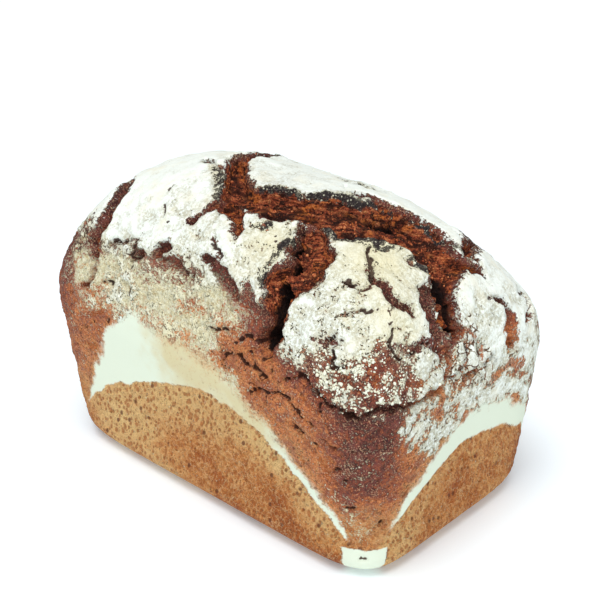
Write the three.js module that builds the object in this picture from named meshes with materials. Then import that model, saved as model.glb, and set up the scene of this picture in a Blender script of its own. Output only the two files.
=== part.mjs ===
// A rye bread loaf, baked in a one-kilogram tin and dusted with flour before baking.
// Units are millimetres, +Z is up and +X runs along the loaf. The loaf stands on its flat
// base at z = 0, with the origin under the middle of its bounding box.
//
// The loaf is one closed crust. Below the shoulder the tin has shaped it: flat tapered walls
// with rounded upright corners. Above the shoulder it has risen into a dome, which the oven
// has torn open. The tears, their raised lips and the swollen crust plates between them are
// relief on that base form, pushed along its normals.

import * as THREE from "three";

// ---- Base form ---------------------------------------------------------------------------

const HALF_LENGTH = 100; // at the shoulder, where the loaf is longest
const HALF_WIDTH = 63; // at the shoulder
const SHOULDER_HEIGHT = 72; // where the tin's rim was
const CROWN_RISE = 69; // height of the dome above the shoulder
const WALL_DRAFT = THREE.MathUtils.degToRad(5.5); // taper of the tin's walls
const BASE_EDGE_RADIUS = 10;

const END_REACH = 78; // length over which each end rounds off in plan
const SPINE_HALF = HALF_LENGTH - END_REACH; // the straight middle of the dome
const PLAN_SQUARENESS = 6.5; // superellipse power of the plan outline
const CROWN_FALL = 2; // how late the dome starts to fall from its top
const CROWN_FULLNESS = 2.6; // how steeply it meets the shoulder
const INNER_ROUNDNESS = 1.25; // the dome's level lines are rounder than the plan outline
const ROUNDNESS_FADE = 1.75; // how that roundness dies out towards the outline
const CROWN_LEAN_X = 0.01; // share by which the +X end of the dome rises higher
const CROWN_LEAN_Y = -0.13; // share by which the -Y side of the dome rises higher

// ---- Relief ------------------------------------------------------------------------------

const LUMPS = { size: 26, height: 1.1, seed: 11 }; // slow unevenness of the whole crust
const KNOBS = { size: 9, height: 0.55, seed: 12 }; // smaller unevenness of the dome
const CRUMB = { size: 6, height: 1.6, seed: 13 }; // rough torn crumb inside the tears
const WANDER = { size: 10, reach: 2.2, seed: 14 }; // how far a tear's edge strays sideways
const TIN_SMOOTHNESS = 0.55; // share of the lumps that the tin pressed flat
const DOME_START = SHOULDER_HEIGHT + 6; // above this the tin no longer smoothed the crust
const DOME_FULL = SHOULDER_HEIGHT + 28;
const BASE_FADE = 14; // the relief dies out over this height above the base
const TEAR_FLOOR = 0.5; // share of a tear's half-width that lies at its full depth
const LIP_SPREAD = 4; // width of the raised lip outside a tear
const TEAR_BLEND = 4; // power by which tears that meet blend into one depth

// Crust plates that swelled between the tears: centre, radius and height.
const SWELLS = [
  { at: [72, -40, 121], radius: 30, height: 3.0 }, // the domed plate at the front corner
  { at: [-42, -32, 135], radius: 28, height: 0.8 },
  { at: [6, -49, 124], radius: 17, height: 1.2 },
  { at: [20, 44, 119], radius: 30, height: 0.8 },
];

// Each tear is a path over the crust. A path point is [x, y, z, half-width of the tear there].
const TEARS = [
  // The great tear along the top, with hollows under its far rim and at its end.
  {
    depth: 7.5,
    lip: 0.7,
    path: [
      [-27, 12, 138, 4.5], [-24, -3, 141, 6], [-14, -19, 141, 7], [-3, -26, 140, 8.5], [10, -25, 140, 9],
      [21, -22, 140, 10], [33, -17, 140, 13], [43, -12, 139, 15.5], [54, -2, 137, 14], [64, 1, 133, 13.5],
      [72, 4, 129, 13], [79, 5, 123, 11], [84, -1, 119, 6],
    ],
  },
  { depth: 10, lip: 0, path: [[34, 6, 139, 2.5], [48, 12, 135, 3.5], [60, 17, 130, 4], [70, 19, 125, 3.5]] },
  { depth: 12, lip: 0, path: [[46, 1, 138, 2.5], [50, 7, 136, 3.5], [53, 10, 134, 2.5]] },
  {
    depth: 13,
    lip: 0,
    path: [[84, 1, 120, 3], [87, 0, 117, 4], [90, -2, 113, 4], [93, -4, 107, 3], [96, -5, 101, 2.2]],
  },
  { depth: 6, lip: 0.6, path: [[79, 8, 123, 7], [81, 16, 119, 4.5], [84, 21, 115, 2], [88, 24, 110, 1]] },
  {
    depth: 6,
    lip: 0.4,
    path: [[82, -3, 121, 6], [87, -5, 116, 6], [90, -6, 112, 5.5], [93, -8, 107, 4.5], [96, -9, 101, 3.2]],
  },
  // The tear that crosses the front side, with a deep slit at the foot of its +X wall.
  {
    depth: 6,
    lip: 0.8,
    path: [
      [42, -32, 136, 5.5], [48, -38, 132, 8.5], [48, -44, 127, 9.5], [43, -50, 123, 8], [43, -54, 117, 6.5],
      [45, -57, 110, 6], [46, -59, 104, 4.6], [46, -61, 100, 2.3],
    ],
  },
  {
    depth: 14,
    lip: 0,
    path: [
      [34, -31, 138, 1.4], [38, -37, 134, 1.9], [41, -43, 129, 2.1], [42, -49, 123, 2.2],
      [42, -54, 117, 2.6], [42, -57, 110, 3.2], [42, -60, 102, 3.2], [43, -61, 94, 1.8],
    ],
  },
  // Arms of the great tear into the front plates and the -X plate.
  {
    depth: 5.5,
    lip: 0.8,
    path: [[-4, -34, 137, 5.5], [2, -38, 135, 4], [8, -41, 132, 2.3], [11, -44, 130, 1.4]],
  },
  {
    depth: 4.5,
    lip: 0.6,
    path: [
      [-7, -34, 137, 3.2], [-9, -36, 135, 2.4], [-11, -40, 133, 2], [-14, -44, 130, 2], [-18, -45, 130, 1],
    ],
  },
  { depth: 4, lip: 0.8, path: [[-22, -14, 142, 4], [-30, -16, 141, 3], [-38, -10, 140, 1.5]] },
  // The tear round the front of the -X shoulder.
  {
    depth: 5,
    lip: 0.8,
    path: [
      [-90, -4, 113, 3], [-82, -17, 122, 4], [-73, -30, 125, 5], [-68, -40, 123, 4.6], [-65, -47, 119, 4],
      [-64, -53, 113, 3.2], [-65, -57, 106, 2.6], [-64, -59, 100, 2.3], [-63, -61, 93, 1.9],
      [-69, -62, 86, 1.4],
    ],
  },
  // Shallow tears below the front plates, and round the front corner.
  {
    depth: 3.5,
    lip: 0.7,
    path: [[-39, -57, 111, 1.8], [-31, -57, 113, 1.7], [-23, -54, 118, 2.7], [-19, -53, 120, 2.2]],
  },
  {
    depth: 3.5,
    lip: 0.9,
    path: [
      [83, -60, 85, 1.4], [88, -59, 84, 2], [93, -54, 87, 2], [98, -42, 86, 1.4], [99, -34, 85, 1.8],
      [99, -28, 85, 2.6], [100, -22, 84, 2.3], [99, -18, 86, 1.4],
    ],
  },
  // Bare furrows of the domed plate.
  {
    depth: 2.2,
    lip: 0.5,
    path: [
      [65, -39, 125, 1.1], [69, -37, 124, 1.5], [72, -33, 124, 2.2], [76, -30, 123, 3], [81, -29, 120, 3],
      [85, -29, 117, 2.7], [88, -28, 114, 1.8],
    ],
  },
  {
    depth: 2.5,
    lip: 0.5,
    path: [[84, -13, 119, 3.7], [88, -17, 115, 5], [91, -17, 110, 5.6], [94, -16, 104, 5], [97, -16, 98, 3]],
  },
  // Tears of the +X end.
  {
    depth: 5,
    lip: 0.8,
    path: [
      [93, 17, 106, 0.9], [93, 23, 103, 1.8], [95, 26, 99, 2.7], [97, 27, 93, 3.6], [99, 27, 87, 3],
      [100, 24, 83, 1.8],
    ],
  },
  { depth: 3, lip: 0.6, path: [[89, 42, 102, 1.4], [91, 46, 96, 3], [94, 46, 91, 3.4], [97, 39, 90, 2]] },
  // Tears of the back side.
  {
    depth: 8,
    lip: 1.2,
    path: [
      [-27, 12, 138, 4.5], [-33, 28, 131, 4.5], [-37, 42, 121, 4], [-40, 51, 112, 3.2], [-41, 59, 99, 1.8],
    ],
  },
  {
    depth: 3.5,
    lip: 0.7,
    path: [[-41, 50, 113, 1.8], [-20, 48, 116, 2], [26, 49, 116, 2.4], [48, 50, 112, 1.6]],
  },
  { depth: 6, lip: 1, path: [[76, 24, 120, 3], [68, 39, 117, 3], [66, 55, 102, 2.4], [63, 60, 92, 1.4]] },
  // Tears of the -X end.
  {
    depth: 5.5,
    lip: 1,
    path: [[-80, 18, 119, 1.8], [-91, 14, 108, 3.6], [-96, 10, 98, 3.4], [-99, 13, 87, 1.8]],
  },
  {
    depth: 3,
    lip: 0.7,
    path: [[-96, -44, 92, 1.8], [-97, -28, 96, 2.2], [-97, 11, 96, 2.2], [-98, 32, 91, 1.6]],
  },
];
const PATH_STEP = 2.5; // spacing of the straight pieces a tear's path is measured on

// ---- Mesh density ------------------------------------------------------------------------

const CAP_SHARE = 0.74; // share of the plan that the square grid on top covers
const CELL = 3.2; // edge of a cell on the dome
const WALL_BANDS = 4; // between the shoulder and the rounded base edge
const BASE_EDGE_BANDS = 3;
const PROFILE_SAMPLES = 400; // straight pieces on which a profile's length is measured

const CRUST = { color: 0x8a5433, roughness: 0.85, metalness: 0 };

// ---- Helpers -----------------------------------------------------------------------------

const { clamp, lerp, smoothstep } = THREE.MathUtils;

// A repeatable value from -1 to 1 for a whole-number grid point.
function gridValue(i, j, k, seed) {
  let hash = Math.imul(i, 374761393) ^ Math.imul(j, 668265263);
  hash ^= Math.imul(k, 1442695041) ^ Math.imul(seed, 1274126177);
  hash = Math.imul(hash ^ (hash >>> 15), 2246822519);
  hash = Math.imul(hash ^ (hash >>> 13), 3266489917);
  return ((hash ^ (hash >>> 16)) >>> 0) / 2147483647.5 - 1;
}

// Smooth noise from -1 to 1 that varies over about `size` millimetres.
function noise(point, size, seed) {
  const at = [point.x / size, point.y / size, point.z / size];
  const cell = at.map(Math.floor);
  const [u, v, w] = at.map((value, axis) => {
    const t = value - cell[axis];
    return t * t * (3 - 2 * t);
  });
  const value = (i, j, k) => gridValue(cell[0] + i, cell[1] + j, cell[2] + k, seed);
  const edge = (j, k) => lerp(value(0, j, k), value(1, j, k), u);
  const face = (k) => lerp(edge(0, k), edge(1, k), v);
  return lerp(face(0), face(1), w);
}

// ---- Base form functions -----------------------------------------------------------------

// 0 on the dome's spine and 1 on the shoulder outline.
function crownLevel(endShare, sideShare) {
  const squareNorm = (endShare ** PLAN_SQUARENESS + sideShare ** PLAN_SQUARENESS) ** (1 / PLAN_SQUARENESS);
  if (squareNorm < 1e-9) return 0;
  const excess = Math.hypot(endShare, sideShare) / squareNorm - 1;
  const fade = 1 - Math.min(squareNorm, 1) ** ROUNDNESS_FADE;
  return squareNorm * (1 + INNER_ROUNDNESS * excess * fade);
}

function crownHeight(x, y) {
  const endShare = Math.max(0, Math.abs(x) - SPINE_HALF) / END_REACH;
  const level = crownLevel(endShare, Math.abs(y) / HALF_WIDTH);
  const lean = 1 + (CROWN_LEAN_X * x) / HALF_LENGTH + (CROWN_LEAN_Y * y) / HALF_WIDTH;
  return SHOULDER_HEIGHT + CROWN_RISE * lean * Math.max(0, 1 - level ** CROWN_FALL) ** (1 / CROWN_FULLNESS);
}

// How far the wall stands in from the shoulder outline at height z.
function wallInset(z) {
  const taper = (SHOULDER_HEIGHT - z) * Math.tan(WALL_DRAFT);
  const below = Math.max(0, BASE_EDGE_RADIUS - z);
  return taper + BASE_EDGE_RADIUS - Math.sqrt(BASE_EDGE_RADIUS ** 2 - below ** 2);
}

// Turns a point of a flat rectangle, HALF_LENGTH by HALF_WIDTH, into shares of the rounded
// plan outline: whole rectangles around the middle become whole outlines.
function planShares(gridX, gridY) {
  const a = clamp((Math.abs(gridX) - SPINE_HALF) / END_REACH, 0, 1);
  const b = Math.abs(gridY) / HALF_WIDTH;
  const norm = (a ** PLAN_SQUARENESS + b ** PLAN_SQUARENESS) ** (1 / PLAN_SQUARENESS);
  const scale = norm > 0 ? Math.max(a, b) / norm : 0;
  return [Math.sign(gridX) * a * scale, Math.sign(gridY) * b * scale];
}

// Places from start to end, evenly spaced along a profile and about `step` apart.
function evenPlaces(start, end, step, profile) {
  const along = [0];
  const position = (i) => lerp(start, end, i / PROFILE_SAMPLES);
  for (let i = 1; i <= PROFILE_SAMPLES; i += 1) {
    const rise = profile(position(i)) - profile(position(i - 1));
    along.push(along[i - 1] + Math.hypot(position(i) - position(i - 1), rise));
  }
  const length = along[PROFILE_SAMPLES];
  const count = Math.round(length / step);
  const places = [];
  let i = 1;
  for (let place = 0; place <= count; place += 1) {
    const target = (length * place) / count;
    while (i < PROFILE_SAMPLES && along[i] < target) i += 1;
    const share = (target - along[i - 1]) / (along[i] - along[i - 1]);
    places.push(lerp(position(i - 1), position(i), share));
  }
  return places;
}

// ---- Relief functions --------------------------------------------------------------------

// Straight pieces along a smooth curve through a tear's path points.
function tearPieces({ path }) {
  const curve = new THREE.CatmullRomCurve3(path.map(([x, y, z]) => new THREE.Vector3(x, y, z)));
  const count = Math.ceil(curve.getLength() / PATH_STEP);
  const widthAt = (t) => {
    const place = t * (path.length - 1);
    const first = Math.min(Math.floor(place), path.length - 2);
    return lerp(path[first][3], path[first + 1][3], place - first);
  };
  const pieces = [];
  for (let i = 0; i < count; i += 1) {
    const start = curve.getPoint(i / count);
    const end = curve.getPoint((i + 1) / count);
    pieces.push({ line: new THREE.Line3(start, end), from: widthAt(i / count), to: widthAt((i + 1) / count) });
  }
  return pieces;
}

const tears = TEARS.map((tear) => ({ ...tear, pieces: tearPieces(tear) }));
const nearest = new THREE.Vector3();

// Distance from a tear's middle and the tear's half-width at the nearest place of its path.
function tearReach(tear, point) {
  let best = { distance: Infinity, halfWidth: 1 };
  for (const piece of tear.pieces) {
    const share = piece.line.closestPointToPointParameter(point, true);
    const distance = piece.line.at(share, nearest).distanceTo(point);
    const halfWidth = lerp(piece.from, piece.to, share);
    if (distance / halfWidth < best.distance / best.halfWidth) best = { distance, halfWidth };
  }
  return best;
}

function swellHeight(point) {
  let height = 0;
  for (const swell of SWELLS) {
    const share = point.distanceTo(new THREE.Vector3(...swell.at)) / swell.radius;
    height += swell.height * Math.exp(-1.5 * share * share);
  }
  return height;
}

// How far the crust stands out of the base form at a point of it.
function relief(point) {
  const domeShare = smoothstep(point.z, DOME_START, DOME_FULL);
  const lumpShare = 1 - TIN_SMOOTHNESS * (1 - domeShare);
  let height = LUMPS.height * lumpShare * noise(point, LUMPS.size, LUMPS.seed);
  height += KNOBS.height * domeShare * noise(point, KNOBS.size, KNOBS.seed);
  height += swellHeight(point);

  const strayed = point.clone();
  strayed.x += WANDER.reach * noise(point, WANDER.size, WANDER.seed);
  strayed.y += WANDER.reach * noise(point, WANDER.size, WANDER.seed + 4);
  strayed.z += WANDER.reach * noise(point, WANDER.size, WANDER.seed + 8);
  let blended = 0;
  let openShare = 0;
  let lip = 0;
  for (const tear of tears) {
    const { distance, halfWidth } = tearReach(tear, strayed);
    const share = 1 - smoothstep(distance / halfWidth, TEAR_FLOOR, 1);
    const outside = Math.max(0, distance - halfWidth) / LIP_SPREAD;
    blended += (tear.depth * share) ** TEAR_BLEND;
    openShare = Math.max(openShare, share);
    lip = Math.max(lip, tear.lip * Math.exp(-outside * outside));
  }
  height += lip * (1 - openShare) - blended ** (1 / TEAR_BLEND);
  height += CRUMB.height * openShare * noise(point, CRUMB.size, CRUMB.seed);
  return height * smoothstep(point.z, 0, BASE_FADE);
}

// ---- Mesh --------------------------------------------------------------------------------

// Grid places round the edge of the cap, anticlockwise from above.
function borderPlaces(columnCount, rowCount) {
  const places = [];
  for (let i = 0; i < columnCount; i += 1) places.push([i, 0]);
  for (let j = 0; j < rowCount; j += 1) places.push([columnCount, j]);
  for (let i = columnCount; i > 0; i -= 1) places.push([i, rowCount]);
  for (let j = rowCount; j > 0; j -= 1) places.push([0, j]);
  return places;
}

// Rings outside the cap, from the top down. A ring lies at a level of the crown (1 is the
// shoulder outline), or at a height of the wall, where the taper sets it in.
function ringPlaces() {
  const sideProfile = (level) => crownHeight(0, HALF_WIDTH * level) / HALF_WIDTH;
  const levels = evenPlaces(CAP_SHARE, 1, CELL / HALF_WIDTH, sideProfile).slice(1);
  const rings = levels.map((level) => ({ level, inset: 0 }));
  const addWallRing = (z) => rings.push({ level: 1, inset: wallInset(z), z });
  for (let band = 1; band <= WALL_BANDS; band += 1) {
    addWallRing(lerp(SHOULDER_HEIGHT, BASE_EDGE_RADIUS, band / WALL_BANDS));
  }
  for (let band = 1; band <= BASE_EDGE_BANDS; band += 1) {
    addWallRing(BASE_EDGE_RADIUS * (1 - Math.sin((Math.PI / 2) * (band / BASE_EDGE_BANDS))));
  }
  return rings;
}

// The undented base form: a square grid on top, rings down to the base, and a fan as the base.
function baseForm() {
  const capX = SPINE_HALF + CAP_SHARE * END_REACH;
  const capY = CAP_SHARE * HALF_WIDTH;
  const columns = evenPlaces(-capX, capX, CELL, (x) => crownHeight(x, 0));
  const rows = evenPlaces(-capY, capY, CELL, (y) => crownHeight(0, y));
  const positions = [];
  const quads = [];
  const addPoint = (x, y, z) => positions.push(x, y, z) / 3 - 1;

  const spoke = (gridX, gridY) => {
    const [endShare, sideShare] = planShares(gridX, gridY);
    return { spineX: clamp(gridX, -SPINE_HALF, SPINE_HALF), endShare, sideShare };
  };
  const cap = rows.map((gridY) => columns.map((gridX) => {
    const { spineX, endShare, sideShare } = spoke(gridX, gridY);
    const x = spineX + END_REACH * endShare;
    const y = HALF_WIDTH * sideShare;
    return addPoint(x, y, crownHeight(x, y));
  }));
  for (let j = 0; j + 1 < rows.length; j += 1) {
    for (let i = 0; i + 1 < columns.length; i += 1) {
      quads.push([cap[j][i], cap[j][i + 1], cap[j + 1][i + 1], cap[j + 1][i]]);
    }
  }

  const border = borderPlaces(columns.length - 1, rows.length - 1);
  const spokes = border.map(([i, j]) => spoke(columns[i], rows[j]));
  let upper = border.map(([i, j]) => cap[j][i]);
  for (const { level, inset, z } of ringPlaces()) {
    const lower = spokes.map(({ spineX, endShare, sideShare }) => {
      const x = spineX + ((END_REACH * level - inset) * endShare) / CAP_SHARE;
      const y = ((HALF_WIDTH * level - inset) * sideShare) / CAP_SHARE;
      return addPoint(x, y, z ?? crownHeight(x, y));
    });
    for (let n = 0; n < border.length; n += 1) {
      const next = (n + 1) % border.length;
      quads.push([upper[next], upper[n], lower[n], lower[next]]);
    }
    upper = lower;
  }
  const middle = addPoint(0, 0, 0);
  const fan = upper.map((corner, n) => [middle, upper[(n + 1) % upper.length], corner]);
  return { positions, quads, fan };
}

// Splits a quad along its shorter diagonal, so that creases run along the tears.
function splitQuad([a, b, c, d], position) {
  const length = (p, q) => new THREE.Vector3().fromBufferAttribute(position, p)
    .distanceTo(new THREE.Vector3().fromBufferAttribute(position, q));
  if (length(a, c) <= length(b, d)) return [a, b, c, a, c, d];
  return [a, b, d, b, c, d];
}

function loafGeometry() {
  const { positions, quads, fan } = baseForm();
  const base = new THREE.BufferGeometry();
  base.setAttribute("position", new THREE.Float32BufferAttribute(positions, 3));
  base.setIndex(quads.flatMap(([a, b, c, d]) => [a, b, c, a, c, d]).concat(fan.flat()));
  base.computeVertexNormals();

  const geometry = new THREE.BufferGeometry();
  const position = base.getAttribute("position").clone();
  const point = new THREE.Vector3();
  const normal = new THREE.Vector3();
  for (let i = 0; i < position.count; i += 1) {
    point.fromBufferAttribute(position, i);
    normal.fromBufferAttribute(base.getAttribute("normal"), i);
    point.addScaledVector(normal, relief(point));
    position.setXYZ(i, point.x, point.y, point.z);
  }
  geometry.setAttribute("position", position);
  geometry.setIndex(quads.flatMap((quad) => splitQuad(quad, position)).concat(fan.flat()));
  geometry.computeVertexNormals();
  return geometry;
}

// Puts the origin under the middle of the bounding box.
function centreOnBase(geometry) {
  geometry.computeBoundingBox();
  const middle = geometry.boundingBox.getCenter(new THREE.Vector3());
  geometry.translate(-middle.x, -middle.y, -geometry.boundingBox.min.z);
  return geometry;
}

const loaf = new THREE.Mesh(centreOnBase(loafGeometry()), new THREE.MeshStandardMaterial(CRUST));
loaf.name = "loaf";

const part = new THREE.Group();
part.add(loaf);

export default part;
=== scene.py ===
"""The looks of a floured rye loaf: fine relief, crust, flour and torn crumb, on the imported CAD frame.

The loaf's form follows the same formulas and tears as its CAD solid, on a mesh fine enough for
crumb and cracks. Lengths in this script are millimetres; the mesh is made in metres.
"""

import math
from functools import partialmethod
from types import SimpleNamespace

import bmesh
import bpy
import numpy as np
from mathutils import Matrix


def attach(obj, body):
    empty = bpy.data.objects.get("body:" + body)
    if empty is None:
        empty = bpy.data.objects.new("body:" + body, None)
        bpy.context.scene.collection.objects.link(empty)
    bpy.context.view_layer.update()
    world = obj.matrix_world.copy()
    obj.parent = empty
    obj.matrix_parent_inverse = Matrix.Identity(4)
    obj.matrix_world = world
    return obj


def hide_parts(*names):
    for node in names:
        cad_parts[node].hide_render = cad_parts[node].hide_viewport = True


MM = 0.001

# ---- Base form, as in the CAD solid --------------------------------------------------------

HALF_LENGTH = 100  # at the shoulder, where the loaf is longest
HALF_WIDTH = 63  # at the shoulder
SHOULDER_HEIGHT = 72  # where the tin's rim was
CROWN_RISE = 69  # height of the dome above the shoulder
WALL_DRAFT = math.radians(5.5)
BASE_EDGE_RADIUS = 10
END_REACH = 78  # length over which each end rounds off in plan
SPINE_HALF = HALF_LENGTH - END_REACH
PLAN_SQUARENESS = 6.5
CROWN_FALL = 2
CROWN_FULLNESS = 2.6
INNER_ROUNDNESS = 1.25
ROUNDNESS_FADE = 1.75
CROWN_LEAN_X = 0.01
CROWN_LEAN_Y = -0.13

CAP_SHARE = 0.74  # share of the plan that the square grid on top covers
CELL = 0.96  # edge of a cell of the crust's mesh
WALL_CELL = 1.15
BASE_RINGS = 6
PROFILE_SAMPLES = 2000  # straight pieces on which a profile's length is measured
TINY = 1e-9  # keeps a division off zero

# ---- Relief shared with the CAD solid ------------------------------------------------------

# Noises of the crust are tables like these, for the function `sampled`. A noise of more than
# one layer adds finer and weaker ones to it.
LUMPS = {"size": 26, "height": 1.1, "seed": 11}
KNOBS = {"size": 9, "height": 0.55, "seed": 12}
CRUMB = {"size": 6, "height": 1.6, "seed": 13}
WANDER = {"size": 10, "reach": 2.2, "seed": 14}
TIN_SMOOTHNESS = 0.55  # share of the lumps that the tin pressed flat
DOME_START = SHOULDER_HEIGHT + 6
DOME_FULL = SHOULDER_HEIGHT + 28
BASE_FADE = 14  # the relief dies out over this height above the base
TEAR_FLOOR = 0.66  # share of a tear's half-width that lies at its full depth; 0.5 in the solid
LIP_SPREAD = 4
TEAR_BLEND = 4
PATH_STEP = 2.5
SMALLEST_GAP = 1e-6

# Swollen crust plates: centre, radius, height.
SWELLS = [
    ((72, -40, 121), 30, 3.0),
    ((-42, -32, 135), 28, 0.8),
    ((6, -49, 124), 17, 1.2),
    ((20, 44, 119), 30, 0.8),
]

# Tears: depth, lip height, and the path as (x, y, z, half-width). Seven of the finer ones
# aren't in the solid.
TEARS = [
    # The great tear along the top, with hollows under its far rim and at its end.
    (7.5, 0.7, [
        (-27, 12, 138, 4.5), (-24, -3, 141, 6), (-14, -19, 141, 7), (-3, -26, 140, 8.5),
        (10, -25, 140, 9), (21, -22, 140, 10), (33, -17, 140, 13), (43, -12, 139, 15.5),
        (54, -2, 137, 14), (64, 1, 133, 13.5), (72, 4, 129, 13), (79, 5, 123, 11), (84, -1, 119, 6),
    ]),
    (10, 0, [(34, 6, 139, 2.5), (48, 12, 135, 3.5), (60, 17, 130, 4), (70, 19, 125, 3.5)]),
    (12, 0, [(46, 1, 138, 2.5), (50, 7, 136, 3.5), (53, 10, 134, 2.5)]),
    (9, 0, [(-8, -27, 139, 2), (-2, -31, 138, 2.5)]),
    (13, 0, [(84, 1, 120, 3), (87, 0, 117, 4), (90, -2, 113, 4), (93, -4, 107, 3), (96, -5, 101, 2.2)]),
    (6, 0.6, [(79, 8, 123, 7), (81, 16, 119, 4.5), (84, 21, 115, 2), (88, 24, 110, 1)]),
    (6, 0.4, [
        (82, -3, 121, 6), (87, -5, 116, 6), (90, -6, 112, 5.5), (93, -8, 107, 4.5), (96, -9, 101, 3.2),
    ]),
    # The tear that crosses the front side, with a deep slit at the foot of its +X wall.
    (6, 0.8, [
        (42, -32, 136, 5.5), (48, -38, 132, 8.5), (48, -44, 127, 9.5), (43, -50, 123, 8),
        (43, -54, 117, 6.5), (45, -57, 110, 6), (46, -59, 104, 4.6), (46, -61, 100, 2.3),
    ]),
    (14, 0, [
        (34, -31, 138, 1.4), (38, -37, 134, 1.9), (41, -43, 129, 2.1), (42, -49, 123, 2.2),
        (42, -54, 117, 2.6), (42, -57, 110, 3.2), (42, -60, 102, 3.2), (43, -61, 94, 1.8),
    ]),
    # Arms of the great tear into the front plates and the -X plate.
    (5.5, 0.8, [(-4, -34, 137, 5.5), (2, -38, 135, 4), (8, -41, 132, 2.3), (11, -44, 130, 1.4)]),
    (4.5, 0.6, [
        (-7, -34, 137, 3.2), (-9, -36, 135, 2.4), (-11, -40, 133, 2), (-14, -44, 130, 2),
        (-18, -45, 130, 1),
    ]),
    (4, 0.8, [(-22, -14, 142, 4), (-30, -16, 141, 3), (-38, -10, 140, 1.5)]),
    # The tear round the front of the -X shoulder.
    (5, 0.8, [
        (-90, -4, 113, 3), (-82, -17, 122, 4), (-73, -30, 125, 5), (-68, -40, 123, 4.6),
        (-65, -47, 119, 4), (-64, -53, 113, 3.2), (-65, -57, 106, 2.6), (-64, -59, 100, 2.3),
        (-63, -61, 93, 1.9), (-69, -62, 86, 1.4),
    ]),
    # Shallow tears below the front plates, and round the front corner.
    (3.5, 0.7, [
        (-39, -57, 111, 1.8), (-31, -57, 113, 1.7), (-23, -54, 118, 2.7), (-19, -53, 120, 2.2),
    ]),
    (2.2, 0.5, [(-23, -56, 115, 1.8), (-15, -56, 115, 2.7), (-8, -56, 114, 2.6), (-4, -57, 112, 1.4)]),
    (2, 0.6, [
        (2, -53, 120, 2.3), (8, -53, 119, 3.6), (13, -55, 116, 4), (19, -57, 113, 3.5),
        (23, -57, 111, 2.3),
    ]),
    (3.5, 0.9, [
        (83, -60, 85, 1.4), (88, -59, 84, 2), (93, -54, 87, 2), (98, -42, 86, 1.4), (99, -34, 85, 1.8),
        (99, -28, 85, 2.6), (100, -22, 84, 2.3), (99, -18, 86, 1.4),
    ]),
    # Bare furrows of the domed plate.
    (2.2, 0.5, [
        (65, -39, 125, 1.1), (69, -37, 124, 1.5), (72, -33, 124, 2.2), (76, -30, 123, 3),
        (81, -29, 120, 3), (85, -29, 117, 2.7), (88, -28, 114, 1.8),
    ]),
    (2.5, 0.5, [
        (84, -13, 119, 3.7), (88, -17, 115, 5), (91, -17, 110, 5.6), (94, -16, 104, 5),
        (97, -16, 98, 3),
    ]),
    (4, 0.4, [(96, -7, 101, 1.8), (98, -13, 95, 1.7), (99, -16, 89, 1.3)]),
    # Tears of the +X end, and of the plate behind the great tear.
    (5, 0.8, [
        (93, 17, 106, 0.9), (93, 23, 103, 1.8), (95, 26, 99, 2.7), (97, 27, 93, 3.6), (99, 27, 87, 3),
        (100, 24, 83, 1.8),
    ]),
    (3, 0.6, [
        (99, -17, 87, 1.8), (100, -9, 84, 1.4), (100, 4, 83, 1.4), (100, 12, 84, 1), (100, 24, 82, 1),
    ]),
    (3, 0.6, [(89, 42, 102, 1.4), (91, 46, 96, 3), (94, 46, 91, 3.4), (97, 39, 90, 2)]),
    (3, 0.5, [(59, 33, 123, 1), (65, 32, 122, 1.2), (72, 29, 120, 1.6), (79, 25, 118, 1.6)]),
    (2, 0.4, [(25, 7, 140, 1.8), (23, 18, 136, 2.3), (25, 26, 133, 2.3), (30, 28, 132, 1.4)]),
    # Tears of the back side.
    (8, 1.2, [
        (-27, 12, 138, 4.5), (-33, 28, 131, 4.5), (-37, 42, 121, 4), (-40, 51, 112, 3.2),
        (-41, 59, 99, 1.8),
    ]),
    (3.5, 0.7, [(-41, 50, 113, 1.8), (-20, 48, 116, 2), (26, 49, 116, 2.4), (48, 50, 112, 1.6)]),
    (6, 1, [(76, 24, 120, 3), (68, 39, 117, 3), (66, 55, 102, 2.4), (63, 60, 92, 1.4)]),
    # Tears of the -X end.
    (5.5, 1, [(-80, 18, 119, 1.8), (-91, 14, 108, 3.6), (-96, 10, 98, 3.4), (-99, 13, 87, 1.8)]),
    (3, 0.7, [(-96, -44, 92, 1.8), (-97, -28, 96, 2.2), (-97, 11, 96, 2.2), (-98, 32, 91, 1.6)]),
]

# ---- Relief of the scene alone -------------------------------------------------------------

FAR_AWAY = 1e3  # stands for the distance to a tear that isn't near
TEAR_MARGIN = 16.0  # distances from a tear are measured up to here beyond its width
OPEN_DEPTH = (4.3, 6.2)  # depths between which a tear begins to show torn crumb
OPEN_WIDTH = 2.5  # half-width from which it shows all of its crumb
# The crumb's shade is painted: darker the deeper a tear is.
CRUMB_DEPTH = 9  # depth at which the crumb's shade is full
# The deepest tears are painted near black as their shade.
PIT_DEPTH = (9, 14)  # depths between which a tear turns black
SHALLOW_DEPTH = (2.5, 5)  # depths between which a tear is still floured

FRAY = {"size": 5, "reach": 1.9, "layers": 3, "seed": 31}  # finer straying of a tear's edge
CRACK_FRAY = {"size": 4, "reach": 1.5, "layers": 2, "seed": 51}
CRACK_EDGE = 0.45
CRACK_MARGIN = 3.0
RANDOM_CRACKS = {
    "count": 12, "points": (3, 5), "stride": 2.2, "bend": 0.8,
    "width": (0.3, 0.7), "depth": 0.8, "seed": 5,
}
MARGIN = {"size": 9, "narrow": -0.2, "wide": 2.0, "shallow": 1.6, "seed": 41}  # bare crust beside a tear
FINE_CRUMB = {"size": 3.2, "height": 1.1, "layers": 2, "seed": 61}
STRANDS = {"size": 5, "stretch": 4, "height": 1.2, "seed": 65}  # torn strands along the great tear
CLUMPS = {"size": 3.6, "height": 0.85, "layers": 2, "seed": 71}
GRANULES = {"size": 2.2, "height": 0.34, "layers": 2, "seed": 81}
PORES = {"size": 1.9, "depth": 0.5, "dome_depth": 0.3, "layers": 2, "seed": 91}
RIDGES = {"size": 5.5, "stretch": 1.7, "height": 0.75, "layers": 3, "seed": 99}  # of the bare wall
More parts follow.
